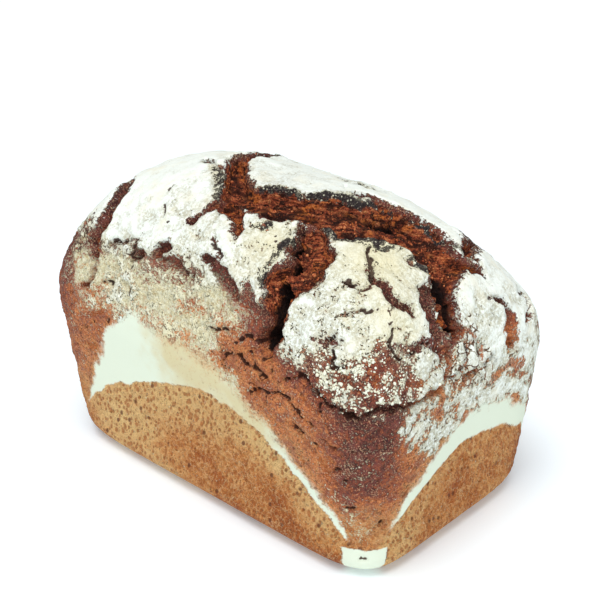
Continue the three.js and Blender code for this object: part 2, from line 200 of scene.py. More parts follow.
# Short cracks of the bare wall, and what breaks them; their darkness is painted shade.
FISSURES = {"size": 6, "depth": 1.1, "darkness": 0.8, "layers": 4, "gain": 0.6, "seed": 95}
FISSURE_BREAKS = {"size": 8, "seed": 100}
FLOUR_THICKNESS = 0.7
THICK_FLOUR = (0.9, 1.15)  # dust between these lies in thick plates
THICK_SMOOTHNESS = 0.6  # share of the clumps that thick flour buries
GAP_DEPTH = 0.8

# Narrow cracks: depth and path.
CRACKS = [
    # The brown wall of the front side.
    (2.6, [
        (19, -63, 85, 0.7), (22, -62, 88, 0.9), (26, -62, 88, 1.1), (29, -62, 89, 1.6),
        (33, -63, 87, 1.2), (38, -63, 87, 0.9), (42, -63, 85, 0.8), (46, -63, 84, 0.6),
    ]),
    (2.2, [
        (22, -62, 94, 0.7), (26, -62, 95, 1), (29, -61, 97, 1.2), (36, -61, 99, 1), (41, -61, 98, 0.8),
        (44, -61, 96, 0.6),
    ]),
    (3.0, [
        (54, -62, 88, 0.7), (57, -62, 91, 1), (59, -61, 93, 1.3), (63, -61, 94, 1.4),
        (66, -62, 91, 1.4), (69, -62, 90, 1.1), (73, -62, 88, 1), (77, -61, 86, 0.9), (80, -61, 85, 1),
        (84, -60, 84, 1),
    ]),
    (3.2, [(83, -60, 84, 0.8), (84, -60, 83, 1.2), (87, -59, 84, 1.4), (89, -58, 84, 1)]),
    (2.2, [
        (34, -63, 75, 0.7), (38, -63, 77, 0.9), (42, -63, 79, 1.1), (47, -63, 80, 0.7),
        (50, -63, 81, 1.1), (54, -63, 81, 0.8), (58, -63, 79, 0.8),
    ]),
    (2.2, [(58, -63, 79, 0.8), (62, -63, 77, 1), (65, -63, 75, 0.8), (69, -63, 74, 0.6)]),
    (2.2, [(73, -62, 88, 0.6), (73, -62, 85, 1), (73, -62, 81, 0.7)]),
    (1.8, [(33, -62, 93, 0.6), (37, -62, 93, 0.9), (42, -62, 92, 0.6)]),
    (2.2, [
        (52, -63, 69, 0.8), (57, -63, 69, 0.8), (62, -62, 68, 0.8), (70, -62, 64, 0.9),
        (73, -62, 65, 0.6),
    ]),
    (2.2, [(75, -62, 68, 0.7), (79, -61, 67, 0.9), (84, -60, 68, 0.9), (90, -56, 69, 0.8)]),
    (2.4, [(9, -62, 95, 0.8), (18, -62, 97, 1), (26, -61, 99, 0.8)]),
    # The domed plate: splits, the cuts under its plates, and holes.
    (3.0, [(61, -56, 108, 0.6), (66, -55, 109, 1.1), (71, -54, 109, 1.2), (75, -52, 110, 0.8)]),
    (2.6, [(72, -46, 116, 0.8), (75, -43, 118, 1.2), (77, -40, 118, 1), (79, -37, 118, 0.7)]),
    (3.0, [(62, -22, 133, 0.8), (65, -25, 131, 1.1), (69, -29, 128, 1.3), (72, -32, 125, 1)]),
    (2.4, [(82, -16, 121, 1.1), (84, -16, 120, 1.1)]),
    (1.6, [(84, -37, 114, 0.7), (85, -33, 114, 0.7)]),
    (2.4, [
        (87, -36, 112, 0.7), (88, -38, 110, 1), (89, -40, 108, 1), (91, -40, 105, 1), (93, -37, 103, 1),
        (94, -32, 103, 1),
    ]),
    (1.8, [(94, -32, 103, 1), (94, -26, 103, 0.9), (95, -22, 104, 0.6)]),
    (2.8, [(73, -56, 105, 0.9), (74, -57, 102, 1.3), (76, -57, 101, 0.9), (79, -56, 101, 1.3)]),
    (1.6, [(65, -39, 125, 0.8), (69, -37, 124, 1)]),
    # The plates at the left of the front side.
    (1.8, [(-37, -34, 135, 0.9), (-35, -38, 134, 0.9)]),
    (2.6, [(-34, -42, 131, 1), (-30, -45, 129, 1.3), (-26, -48, 127, 0.9)]),
    (2.4, [(-60, -55, 111, 0.9), (-50, -55, 113, 1.2), (-43, -55, 116, 0.9)]),
    (2.0, [(-58, -61, 93, 0.8), (-51, -61, 95, 1.1), (-42, -61, 96, 0.7)]),
    (1.8, [(1, -47, 127, 0.8), (5, -49, 125, 1.1), (8, -51, 123, 0.9)]),
    (2.2, [(-39, -52, 120, 0.8), (-40, -56, 113, 1), (-39, -59, 106, 0.9)]),
    # Pits beside the front corner, and the crack in its patch of flour.
    (1.6, [(86, -52, 11.5, 0.6), (88, -51, 12, 0.8), (89.5, -49.5, 11.5, 0.6)]),
    (1.8, [(87, -53, 21, 0.8), (89, -51, 22, 0.9)]),
    (1.8, [(82, -57, 37, 0.9), (84, -57, 37, 0.9)]),
    (1.8, [(92, -49, 31, 0.8), (93, -48, 31, 0.8)]),
    (1.8, [(77, -60, 56, 0.8), (79, -60, 56, 0.9)]),
    (1.8, [(80, -59, 52, 0.8), (82, -59, 52, 0.7)]),
    # The +X end.
    (2.2, [(98, 5, 93, 0.8), (99, 5, 88, 1.1), (100, 7, 84, 0.9)]),
    (2.0, [(98, -3, 96, 0.8), (99, -3, 90, 0.9), (99, -9, 86, 0.8)]),
    (2.2, [(84, 21, 115, 0.9), (86, 23, 112, 1.1), (88, 24, 110, 0.9)]),
    (1.8, [(100, -3, 83, 0.8), (100, 0, 74, 1), (100, 0, 68, 0.8)]),
    # The back side and the -X end.
    (2.4, [(52, 62, 88, 0.8), (40, 63, 92, 1.2), (30, 63, 90, 1), (21, 63, 91, 0.8)]),
    (2.2, [(-60, 61, 84, 0.8), (-70, 60, 88, 1.1), (-80, 58, 86, 0.9)]),
    (2.2, [(-98, -20, 78, 0.8), (-98, -8, 82, 1.1), (-99, 2, 80, 0.8)]),
]

# ---- Where flour lies and how the crust baked ----------------------------------------------

# `turn` is a place round the loaf: 0 to 2 along the front side towards +X, 2 to 4 along the
# +X end, 4 to 6 along the back side and 6 to 8 along the -X end. Whole even numbers are corners.
TURNS = 8

# Height of the line that the tin's edge left on the wall, an arch on each side.
ARCH = [
    (0, 10), (0.09, 17), (0.25, 31), (0.49, 45), (0.72, 55), (0.92, 61), (1.08, 64), (1.26, 62),
    (1.4, 56), (1.57, 45), (1.74, 33), (1.86, 24), (2, 14), (2.17, 18), (2.34, 29), (2.5, 37),
    (2.72, 45), (2.93, 49), (3.15, 48), (3.4, 45), (3.73, 35), (3.9, 22), (4, 12), (4.3, 32),
    (4.6, 50), (5, 62), (5.4, 57), (5.7, 40), (5.9, 20), (6, 12), (6.3, 30), (6.6, 46),
    (7, 53), (7.35, 47), (7.7, 30), (8, 12),
]
# Height of the smooth flour band above that line.
BAND = [
    (0.08, 0), (0.15, 3), (0.3, 11), (0.4, 21), (0.46, 29), (0.55, 32), (0.66, 32), (0.82, 25),
    (1.01, 20), (1.15, 17), (1.27, 13), (1.38, 11), (1.5, 8), (1.63, 6), (1.8, 5.6), (1.9, 4.6),
    (1.95, 0), (2.2, 0), (2.28, 3.4), (2.4, 6.4), (2.6, 9.5), (2.79, 14), (3, 14), (3.35, 13),
    (3.7, 13), (3.84, 12), (3.95, 0), (4.12, 0), (4.25, 8), (4.5, 16), (5, 22), (5.5, 12),
    (5.8, 6), (5.9, 0), (6.15, 0), (6.3, 8), (6.7, 14), (7.1, 20), (7.5, 12), (7.8, 5),
    (7.9, 0),
]
# Lowest height of the dusting above the band, and the height from which it covers all.
DUST_LOW = [
    (0, 96), (0.26, 90), (0.35, 82), (0.6, 80), (1, 84), (1.1, 90), (1.2, 97), (1.37, 103),
    (1.5, 100), (1.63, 94), (1.75, 90), (1.9, 87), (2.1, 86), (2.25, 81), (2.32, 70), (2.42, 58),
    (2.6, 54), (3, 60), (3.4, 60), (3.8, 45), (4, 60), (4.3, 72), (4.7, 78), (5.1, 84),
    (5.4, 92), (5.8, 90), (6, 88), (6.4, 72), (6.8, 62), (7.3, 70), (7.7, 84), (8, 96),
]
DUST_FULL = [
    (0, 108), (0.4, 114), (0.6, 117), (1, 118), (1.3, 114), (1.5, 106), (1.63, 102),
    (1.81, 103), (1.96, 106), (2.12, 106), (2.4, 105), (2.75, 98), (3, 84), (3.5, 82), (4, 84),
    (4.5, 98), (5, 106), (5.5, 104), (6, 100), (6.5, 92), (7, 88), (7.5, 98), (8, 108),
]
# How much of the crust the dusting covers between those heights.
DUST_SHARE = [
    (0, 0.3), (0.3, 0.32), (0.5, 0.34), (1, 0.3), (1.2, 0.3), (1.45, 0.42), (1.6, 0.48),
    (1.9, 0.48), (2.1, 0.44), (2.22, 0.42), (2.34, 0.52), (2.5, 0.62), (3, 0.66), (3.5, 0.8),
    (4, 0.75), (4.5, 0.6), (5, 0.5), (5.6, 0.6), (6, 0.5), (6.5, 0.66), (7, 0.7),
    (7.6, 0.5), (8, 0.3),
]

# Height from which the bare crust is dark and purple.
PURPLE_LOW = [
    (0, 96), (1.2, 102), (1.45, 96), (1.6, 88), (1.72, 82), (2.3, 80), (2.5, 92), (3, 98),
    (4, 90), (5, 100), (6, 92), (7, 94), (8, 96),
]

# Extra bare and floured spots: centre, radius, and how much flour they add.
FLOUR_SPOTS = [
    ((-97, -20, 98), 12, -0.3), ((66, 56, 104), 8, -0.5), ((-38, 54, 108), 8, -0.5),
    ((-52, -18, 135), 34, 0.3), ((20, 30, 135), 40, 0.35), ((60, 36, 118), 26, 0.3),
    ((76, -42, 112), 28, -0.20), ((62, -34, 126), 14, 0.06), ((58, -46, 120), 20, -0.16),
    ((22, -44, 128), 14, -0.2), ((-10, -48, 127), 12, -0.15), ((92, -48, 92), 10, -0.1),
    ((96, -8, 96), 22, -0.16), ((-80, -54, 100), 14, -0.4), ((94, 16, 100), 12, -0.15),
    ((28, -58, 108), 12, -0.35),
]
# Thin see-through dusting, and where the smooth band turns cream: centre, radius, amount.
FILM_SPOTS = [
    ((-68, -58, 96), 20, 0.72), ((-40, -61, 96), 22, 0.78), ((-14, -61, 98), 18, 0.72),
    ((8, -62, 92), 13, 0.78), ((10, -58, 108), 11, 0.8), ((25, -60, 105), 10, 0.7),
    ((24, -62, 74), 10, 0.6), ((40, -62, 60), 9, 0.5), ((84, -57, 30), 13, 0.3),
    ((97, -26, 80), 12, 0.4), ((98, 20, 82), 14, 0.4), ((30, 60, 96), 26, 0.75),
    ((-20, 61, 94), 26, 0.7),
]
CREAM_SPOTS = [
    ((68, -24, 130), 20, 1.0), ((26, -40, 132), 14, 0.7), ((86, -36, 112), 14, 0.7),
    ((0, -62, 80), 30, 1.3), ((38, -62, 62), 22, 0.9), ((-10, 62, 78), 30, 0.9),
]
# The patch of flour at the foot of the front corner: centre, half-width and half-height.
FOOT_PATCH = ((88, -53, 8.5), 8.6, 8)
CORNER_REACH = 19  # how far from a corner its darker crust reaches

# Bare gaps between plates of floured crust, as paths like those of the tears.
BARE_GAPS = [
    # The front of the -X shoulder.
    [(-61, -56, 108, 1.8), (-72, -56, 105, 1.6), (-81, -54, 103, 2.2), (-91, -50, 97, 1.8)],
    [(-80, -58, 96, 2.4), (-79, -60, 90, 3), (-77, -61, 83, 3.2)],
    [(-61, -61, 93, 1.2), (-68, -62, 85, 1.6), (-76, -62, 80, 1.8)],
    [(-60, -55, 111, 1.2), (-50, -55, 113, 1.5), (-43, -55, 116, 1.2), (-38, -54, 117, 0.9)],
    # Round and below the front plates.
    [(-39, -52, 120, 0.8), (-40, -56, 113, 1.2), (-39, -59, 106, 1.1), (-44, -61, 100, 0.6)],
    [(-23, -54, 118, 2.4), (-19, -53, 120, 2), (-20, -50, 122, 0.8)],
    [(1, -47, 127, 1), (5, -49, 125, 1.6), (8, -51, 123, 1.3)],
    [(29, -55, 116, 3), (34, -57, 110, 5), (40, -59, 104, 5), (44, -60, 99, 3.4)],
    [(19, -57, 113, 3.4), (26, -58, 109, 4.4), (33, -59, 105, 4.4)],
    # The domed plate: the split between its lobes, and the bare crust round it.
    [(63, -23, 132, 0.8), (66, -26, 130, 1.2), (70, -30, 127, 1.8), (73, -32, 125, 1.8)],
    [(73, -13, 129, 1), (77, -10, 126, 1.6), (81, -8, 122, 1.8), (84, -9, 119, 1.8)],
    [(66, -56, 107, 1.6), (70, -55, 107, 2), (74, -54, 108, 1.4)],
    [
        (90, -40, 107, 1.2), (93, -38, 104, 1.6), (94, -32, 103, 2.4), (94, -26, 104, 2.4),
        (95, -20, 104, 2.7),
    ],
    # The notch in the plate behind the great tear.
    [(14, 18, 136.5, 1.6), (20, 19, 136.5, 2.2), (27, 20, 136, 1.6)],
    # The +X end.
    [(90, 3, 113, 1), (94, 0, 107, 1.4), (97, -1, 101, 1.6), (98, 5, 95, 1.4), (98, 8, 92, 0.9)],
    [(98, 5, 93, 0.8), (99, 5, 88, 1.1), (100, 7, 84, 0.9)],
    [(98, -3, 96, 0.8), (99, -3, 90, 0.9), (99, -9, 86, 0.8)],
    [(100, -3, 83, 0.8), (100, 0, 74, 1.1), (100, 0, 68, 0.8)],
    [(100, -4, 68, 2), (100, 6, 71, 2), (100, 14, 73, 1.6), (100, 25, 75, 3), (100, 34, 72, 3)],
    [(100, 8, 69, 1.2), (100, 19, 69, 1.4), (99, 30, 66, 0.9)],
    # The back side.
    [(-30, 22, 134, 7), (-36, 40, 122, 6), (-41, 55, 104, 4)],
    [(-41, 50, 113, 3), (-8, 49, 116, 3), (26, 49, 116, 4), (48, 50, 112, 2)],
    [(76, 24, 120, 4), (68, 40, 116, 5), (65, 57, 98, 3)],
    # The -X end.
    [(-80, 18, 119, 3), (-91, 14, 108, 5), (-97, 10, 96, 5), (-99, 13, 86, 3)],
    [(-93, -48, 92, 3), (-97, -28, 96, 3), (-97, 11, 96, 3), (-98, 32, 91, 3)],
]

# Crust burnt black on the rims of the great tear.
SCORCHED = [
    [
        (-6, -21, 141, 2.4), (10, -18, 141, 3), (18, -14, 141, 3.2), (28, -8, 141, 3),
        (36, 1, 140, 2.8), (44, 3, 138, 3.6), (53, 10, 135, 3.8), (62, 12, 131, 3.6), (71, 18, 126, 3),
        (77, 23, 120, 2.4),
    ],
    [
        (46, -28, 136, 2.2), (50, -23, 137, 3.2), (55, -20, 136, 3.6), (61, -17, 134, 3.8),
        (67, -13, 132, 2.8),
    ],
    [
        (30, -31, 138, 2), (33, -36, 135, 2), (34, -42, 131, 2.2), (33, -47, 126, 2.4),
        (35, -52, 121, 2.2),
    ],
    [(-36, -13, 140, 2), (-26, -21, 141, 2.2), (-17, -27, 139, 2.6), (-13, -32, 137, 2)],
    [(14, -37, 135, 1.2), (16, -36, 136, 1.2)],
    [(19, -35, 137, 1.5), (21, -35, 137, 1.5)],
    [(72, -11, 130, 1.4), (80, -9, 123, 1.8)],
    [(-26, 18, 136, 4), (-30, 26, 132, 2)],
    [(12, 19, 136, 1.8), (18, 18, 136.5, 3.2), (23, 20, 136, 3.4), (30, 20, 135.5, 2.2)],
]
# Crust broken up by hairline cracks: centre, radius, amount.
CRACKLED = [
    ((97, -8, 94), 18, 0.8), ((99, 8, 82), 12, 0.4), ((80, -30, 118), 12, 0.3),
    ((-74, -52, 108), 18, 0.6), ((0, 58, 100), 40, 0.4), ((-98, 20, 90), 26, 0.5),
]

LINE_WAVE = {"size": 14, "reach": 1.3, "seed": 101}  # how the tin's line strays up and down
LINE_WAVELETS = {"size": 5.5, "reach": 1.0, "layers": 2, "seed": 102}
BAND_TOP = {"size": 7, "reach": 2.8, "layers": 3, "seed": 103}
BAND_END = {"size": 5, "reach": 0.02, "layers": 2, "seed": 105}  # its reach is a turn
BAND_EDGE = (4.5, 8)  # softness of the band's upper edge, where it is white and where cream
BAND_FADE = (0.5, 6.0)  # heights between which a low band fades in
CREAM_BAND_COVER = 0.8
FOOT_EDGE = {"size": 4, "reach": 0.08, "seed": 104}
FOOT_FLARE = 0.12  # how much wider the foot's patch gets towards its top
PATCHES = {"size": 11, "layers": 2, "seed": 111}
FLOW = {"size": 3.2, "stretch": 5, "around": 80, "layers": 2, "seed": 55}  # streaks along the tin's line
PATCH_RISE = 5  # how far the patches lift or lower the edges of the dusting and the tan foot
PURPLE_RISE = 4  # the same for the purple crust
CORNER_RISE = 3  # and for the dark crust of the corners
NEAR_DUST = (26, 8)  # the thin dusting reaches this far below the lower edge, and is full here
NEAR_DUST_PATCHES = 0.10
NEAR_DUST_FLOW = 0.24
FILM_PATCHES = 0.15
GAP_BARENESS = 0.8
GAP_EDGE = 2.0
SHALLOW_BARENESS = 0.78
SCORCH_EDGE = 1.6
SCORCH_BARENESS = 0.60
CLUMPING = (0.42, 0.18)  # how much clumps change thin dusting and thick dusting

BAKE = {"tin": 0.08, "wall": 0.52, "purple": 0.35, "corner_low": 0.66, "corner_high": 0.92}
BAKE_PATCHES = {"size": 20, "reach": 0.10, "seed": 121}
END_PALENESS = (0.24, 0.2)  # how much less the -X end baked, and how much less still low down
BROWNED = {"least": 0.28, "front": 0.52, "end": 0.35, "corner_foot": 0.44}  # of the tan walls
BROWN_PATCHES = {"size": 24, "reach": 0.22, "seed": 122}
BROWN_SPECKS = {"size": 9, "reach": 0.12, "seed": 123}
CORNER_FOOT_TAN = 0.75
CORNER_FOOT = (24, 40)  # heights between which the tan foot of a corner ends
CORNER_DARKENING = (33, 50)  # heights between which a corner turns dark

# ---- Loose grains --------------------------------------------------------------------------

# Flour gathers where the dusting is thin, and crumb lies in the tears.
FLOUR_GRAINS = {"count": 1200, "radius": 0.3, "spread": 0.5, "largest": 0.8, "lift": 0.1, "seed": 21}
FLOUR_GRAIN_DUST = (0.42, 0.16)  # the dusting on which most grains lie, and its range
FLOUR_GRAIN_HEIGHT = (80, 95)
FEW_GRAINS = 0.004  # weight of the places where only few of them lie
GRAINY_SPOTS = [
    ((78, -50, 100), 26, 1), ((98, -10, 86), 30, 1), ((20, 60, 104), 50, 0.7), ((-97, 10, 92), 40, 0.7),
]
CRUMB_GRAINS = {"count": 800, "radius": 0.38, "spread": 0.4, "largest": 1.2, "lift": 0.1, "seed": 22}
CORNER_UNEVENNESS = (0.75, 1.2)  # factors between which a grain's corners and axes vary
AXIS_UNEVENNESS = (0.65, 1.3)

# ---- Colours -------------------------------------------------------------------------------


def srgb(red, green, blue):
    """A colour given as 0 to 255 screen values, as Blender's linear colour."""
    share = np.array([red, green, blue]) / 255
    linear = np.where(share <= 0.04045, share / 12.92, ((share + 0.055) / 1.055) ** 2.4)
    return (*linear.tolist(), 1.0)


TAN_STOPS = [
    (0.00, srgb(242, 204, 138)),
    (0.35, srgb(228, 178, 116)),
    (0.60, srgb(212, 144, 82)),
    (0.80, srgb(182, 104, 49)),
    (1.00, srgb(158, 82, 38)),
]
TIN_RIDGE = srgb(240, 200, 142)
TIN_PIT = srgb(176, 98, 44)
# Painted shade in the pinholes and holes of the tan skin.
TIN_HOLE_PAINTED_SHADE = srgb(110, 54, 28)
CRUST_STOPS = [
    (0.00, srgb(220, 174, 120)),
    (0.22, srgb(216, 154, 102)),
    (0.45, srgb(208, 124, 74)),
    (0.66, srgb(162, 88, 62)),
    (0.86, srgb(116, 64, 56)),
    (1.00, srgb(72, 42, 42)),
]
# Painted shade in the hollows between the bare wall's ridges, a darker orange.
CLEFT_PAINTED_SHADE = srgb(170, 88, 34)
CRUST_GRAIN = srgb(232, 158, 100)
CRUST_SPECK = srgb(84, 40, 26)
CRUST_PURPLE = srgb(138, 78, 70)
PALE_GRAIN = srgb(226, 180, 142)
BURNT = srgb(54, 47, 47)
BURNT_ASH = srgb(112, 104, 102)
FLOUR = srgb(243, 249, 242)
FLOUR_THIN = srgb(226, 224, 198)
FLOUR_CREAM = srgb(236, 230, 204)
FLOUR_WARM = srgb(232, 224, 184)
# Painted shade on the flour: towards the edges of its clumps, and in a fine mottle.
FLOUR_PAINTED_SHADE = srgb(194, 192, 170)
FILM = srgb(216, 211, 178)
FILM_STOPS = [(0.34, srgb(194, 176, 134)), (0.46, srgb(220, 212, 172)), (0.60, srgb(240, 238, 210))]
FLOUR_SMOOTH = srgb(222, 231, 212)
BAND_CREAM = srgb(212, 202, 162)
CRUMB_STOPS = [
    (0.36, srgb(54, 26, 18)),
    (0.46, srgb(124, 58, 38)),
    (0.55, srgb(176, 90, 56)),
    (0.66, srgb(216, 142, 92)),
]
FLOUR_GRAIN_STOPS = [(0.35, srgb(240, 245, 232)), (0.65, srgb(232, 230, 206))]
CRUMB_AMBER = srgb(206, 116, 48)
# Painted highlight: pale glints on the torn crumb.
CRUMB_PAINTED_HIGHLIGHT = srgb(210, 150, 110)
# Painted shade in the crumb's hollows and deep tears.
CRUMB_PAINTED_SHADE = srgb(44, 20, 14)
# Painted shade in cracks, hairlines and the creases of tears.
CRACK_PAINTED_SHADE = srgb(62, 32, 24)
# Painted shade of the deepest tears.
PIT_PAINTED_SHADE = srgb(20, 9, 7)
WHITE = (1.0, 1.0, 1.0, 1.0)

# ---- Materials -----------------------------------------------------------------------------

DOT_SIZE = 0.8
GRAIN_SIZE = 2.0
BLOTCH_SIZE = 8.0
PORE_TURN = (math.radians(25), math.radians(30), 0)
PORE_STRETCH = (1, 1, 2.2)
STRAND_TURN = (0, 0, math.radians(25))
STRAND_STRETCH = (5, 1, 1)
# Stretch of the painted shade in the crumb's hollows.
HOLLOW_SHADE_STRETCH = (2.5, 1, 1)
# Round spots: the size of the cells that they lie in, and their radius.
SMALL_PITS = (2.0, 0.78)
WIDE_PITS = (3.1, 1.1)
PINHOLES = (1.3, 0.34)
HOLES = (4.6, 0.95)
ASH_SPECKS = (1.1, 0.42)
BAND_FLECKS = (4.0, 0.4)
HAIRLINES = {"size": 6.0, "width": 0.4, "bend": 3.5}
BARE_ROUGHNESS = 0.72
FLOUR_ROUGHNESS = 0.95
CRUST_SPECULAR = 0.16
GRAIN_SPECULAR = 0.2

# ---- Studio --------------------------------------------------------------------------------

FLOOR_COLOUR = (0.87, 0.95, 1.0, 1.0)
FLOOR_ROUGHNESS = 0.6
FLOOR_SPECULAR = 0.1
FLOOR_GLOW = 0.12
FLOOR_HALF = 15000
CAMERA_AZIMUTH = math.radians(43)
CAMERA_ELEVATION = math.radians(28)
CAMERA_ROLL = math.radians(-0.7)
CAMERA_DISTANCE = 672.2
CAMERA_TARGET = (-9.9, 15.7, 70.3)
CAMERA_LENS = 88.2
CAMERA_SENSOR = 36
# Suns: azimuth, elevation and the angle that the light fills in the sky, in degrees, and strength.
LIGHTS = {"key": (20, 74, 35, 1.95), "fill": (44, 16, 40, 1.0)}
SKY_STRENGTH = 0.44

# ---- Helpers -------------------------------------------------------------------------------


def smoothstep(value, low, high):
    share = np.clip((value - low) / (high - low), 0, 1)
    return share * share * (3 - 2 * share)


def lerp(start, end, share):
    return start + (end - start) * share


def grid_value(i, j, k, seed):
    """A repeatable value from -1 to 1 for each whole-number grid point, as in the CAD source."""
    word = np.uint32
    mixed = (i.astype(word) * word(374761393)) ^ (j.astype(word) * word(668265263))
    mixed = mixed ^ (k.astype(word) * word(1442695041)) ^ word((seed * 1274126177) & 0xFFFFFFFF)
    mixed = (mixed ^ (mixed >> word(15))) * word(2246822519)
    mixed = (mixed ^ (mixed >> word(13))) * word(3266489917)
    return (mixed ^ (mixed >> word(16))).astype(float) / 2147483647.5 - 1


def noise(points, size, seed):
    """Smooth noise from -1 to 1 that varies over about `size` millimetres."""
    at = points / size
    cell = np.floor(at)
    share = at - cell
    u, v, w = (share * share * (3 - 2 * share)).T
    i, j, k = cell.astype(np.int64).T
    corner = {
        (a, b, c): grid_value(i + a, j + b, k + c, seed)
        for a in (0, 1) for b in (0, 1) for c in (0, 1)
    }
    edges = {(b, c): lerp(corner[0, b, c], corner[1, b, c], u) for b in (0, 1) for c in (0, 1)}
    faces = {c: lerp(edges[0, c], edges[1, c], v) for c in (0, 1)}
    return lerp(faces[0], faces[1], w)


def layered_noise(points, size, seed, layers, gain):
    """Noise of several sizes, each half the last one."""
    total = np.zeros(len(points))
    weight = 1.0
    for layer in range(layers):
        total += weight * noise(points, size / 2 ** layer, seed + layer)
        weight *= gain
    return total


def sampled(points, table, seed_shift=0):
    """The noise that a table of constants describes."""
    layers, gain = table.get("layers", 1), table.get("gain", 0.5)
    return layered_noise(points, table["size"], table["seed"] + seed_shift, layers, gain)


def shift(points, table, seed_shift=0):
    """That noise times the table's reach."""
    return table["reach"] * sampled(points, table, seed_shift)


# ---- Base form functions -------------------------------------------------------------------


def square_norm(a, b):
    return (a ** PLAN_SQUARENESS + b ** PLAN_SQUARENESS) ** (1 / PLAN_SQUARENESS)


def crown_level(end_share, side_share):
    """0 on the dome's spine and 1 on the shoulder outline."""
    norm = np.maximum(square_norm(end_share, side_share), TINY)
    excess = np.hypot(end_share, side_share) / norm - 1
    fade = 1 - np.minimum(norm, 1) ** ROUNDNESS_FADE
    return norm * (1 + INNER_ROUNDNESS * excess * fade)


def crown_height(x, y):
    end_share = np.maximum(0, np.abs(x) - SPINE_HALF) / END_REACH
    level = crown_level(end_share, np.abs(y) / HALF_WIDTH)
    lean = 1 + CROWN_LEAN_X * x / HALF_LENGTH + CROWN_LEAN_Y * y / HALF_WIDTH
    rise = np.maximum(0, 1 - level ** CROWN_FALL) ** (1 / CROWN_FULLNESS)
    return SHOULDER_HEIGHT + CROWN_RISE * lean * rise


def wall_inset(z):
    """How far the wall stands in from the shoulder outline at height z."""
    taper = (SHOULDER_HEIGHT - z) * math.tan(WALL_DRAFT)
    below = np.maximum(0, BASE_EDGE_RADIUS - z)
    return taper + BASE_EDGE_RADIUS - np.sqrt(BASE_EDGE_RADIUS ** 2 - below ** 2)


def plan_shares(grid_x, grid_y):
    """Points of the flat rectangle as shares of the rounded plan outline."""
    a = np.clip((np.abs(grid_x) - SPINE_HALF) / END_REACH, 0, 1)
    b = np.abs(grid_y) / HALF_WIDTH
    scale = np.maximum(a, b) / np.maximum(square_norm(a, b), TINY)
    return a * scale, b * scale


def even_places(start, end, step, profile):
    """Places from start to end, evenly spaced along the profile and about `step` apart."""
    fine = np.linspace(start, end, PROFILE_SAMPLES)
    along = np.concatenate([[0], np.cumsum(np.hypot(np.diff(fine), np.diff(profile(fine))))])
    count = round(along[-1] / step)
    return np.interp(np.linspace(0, along[-1], count + 1), along, fine)


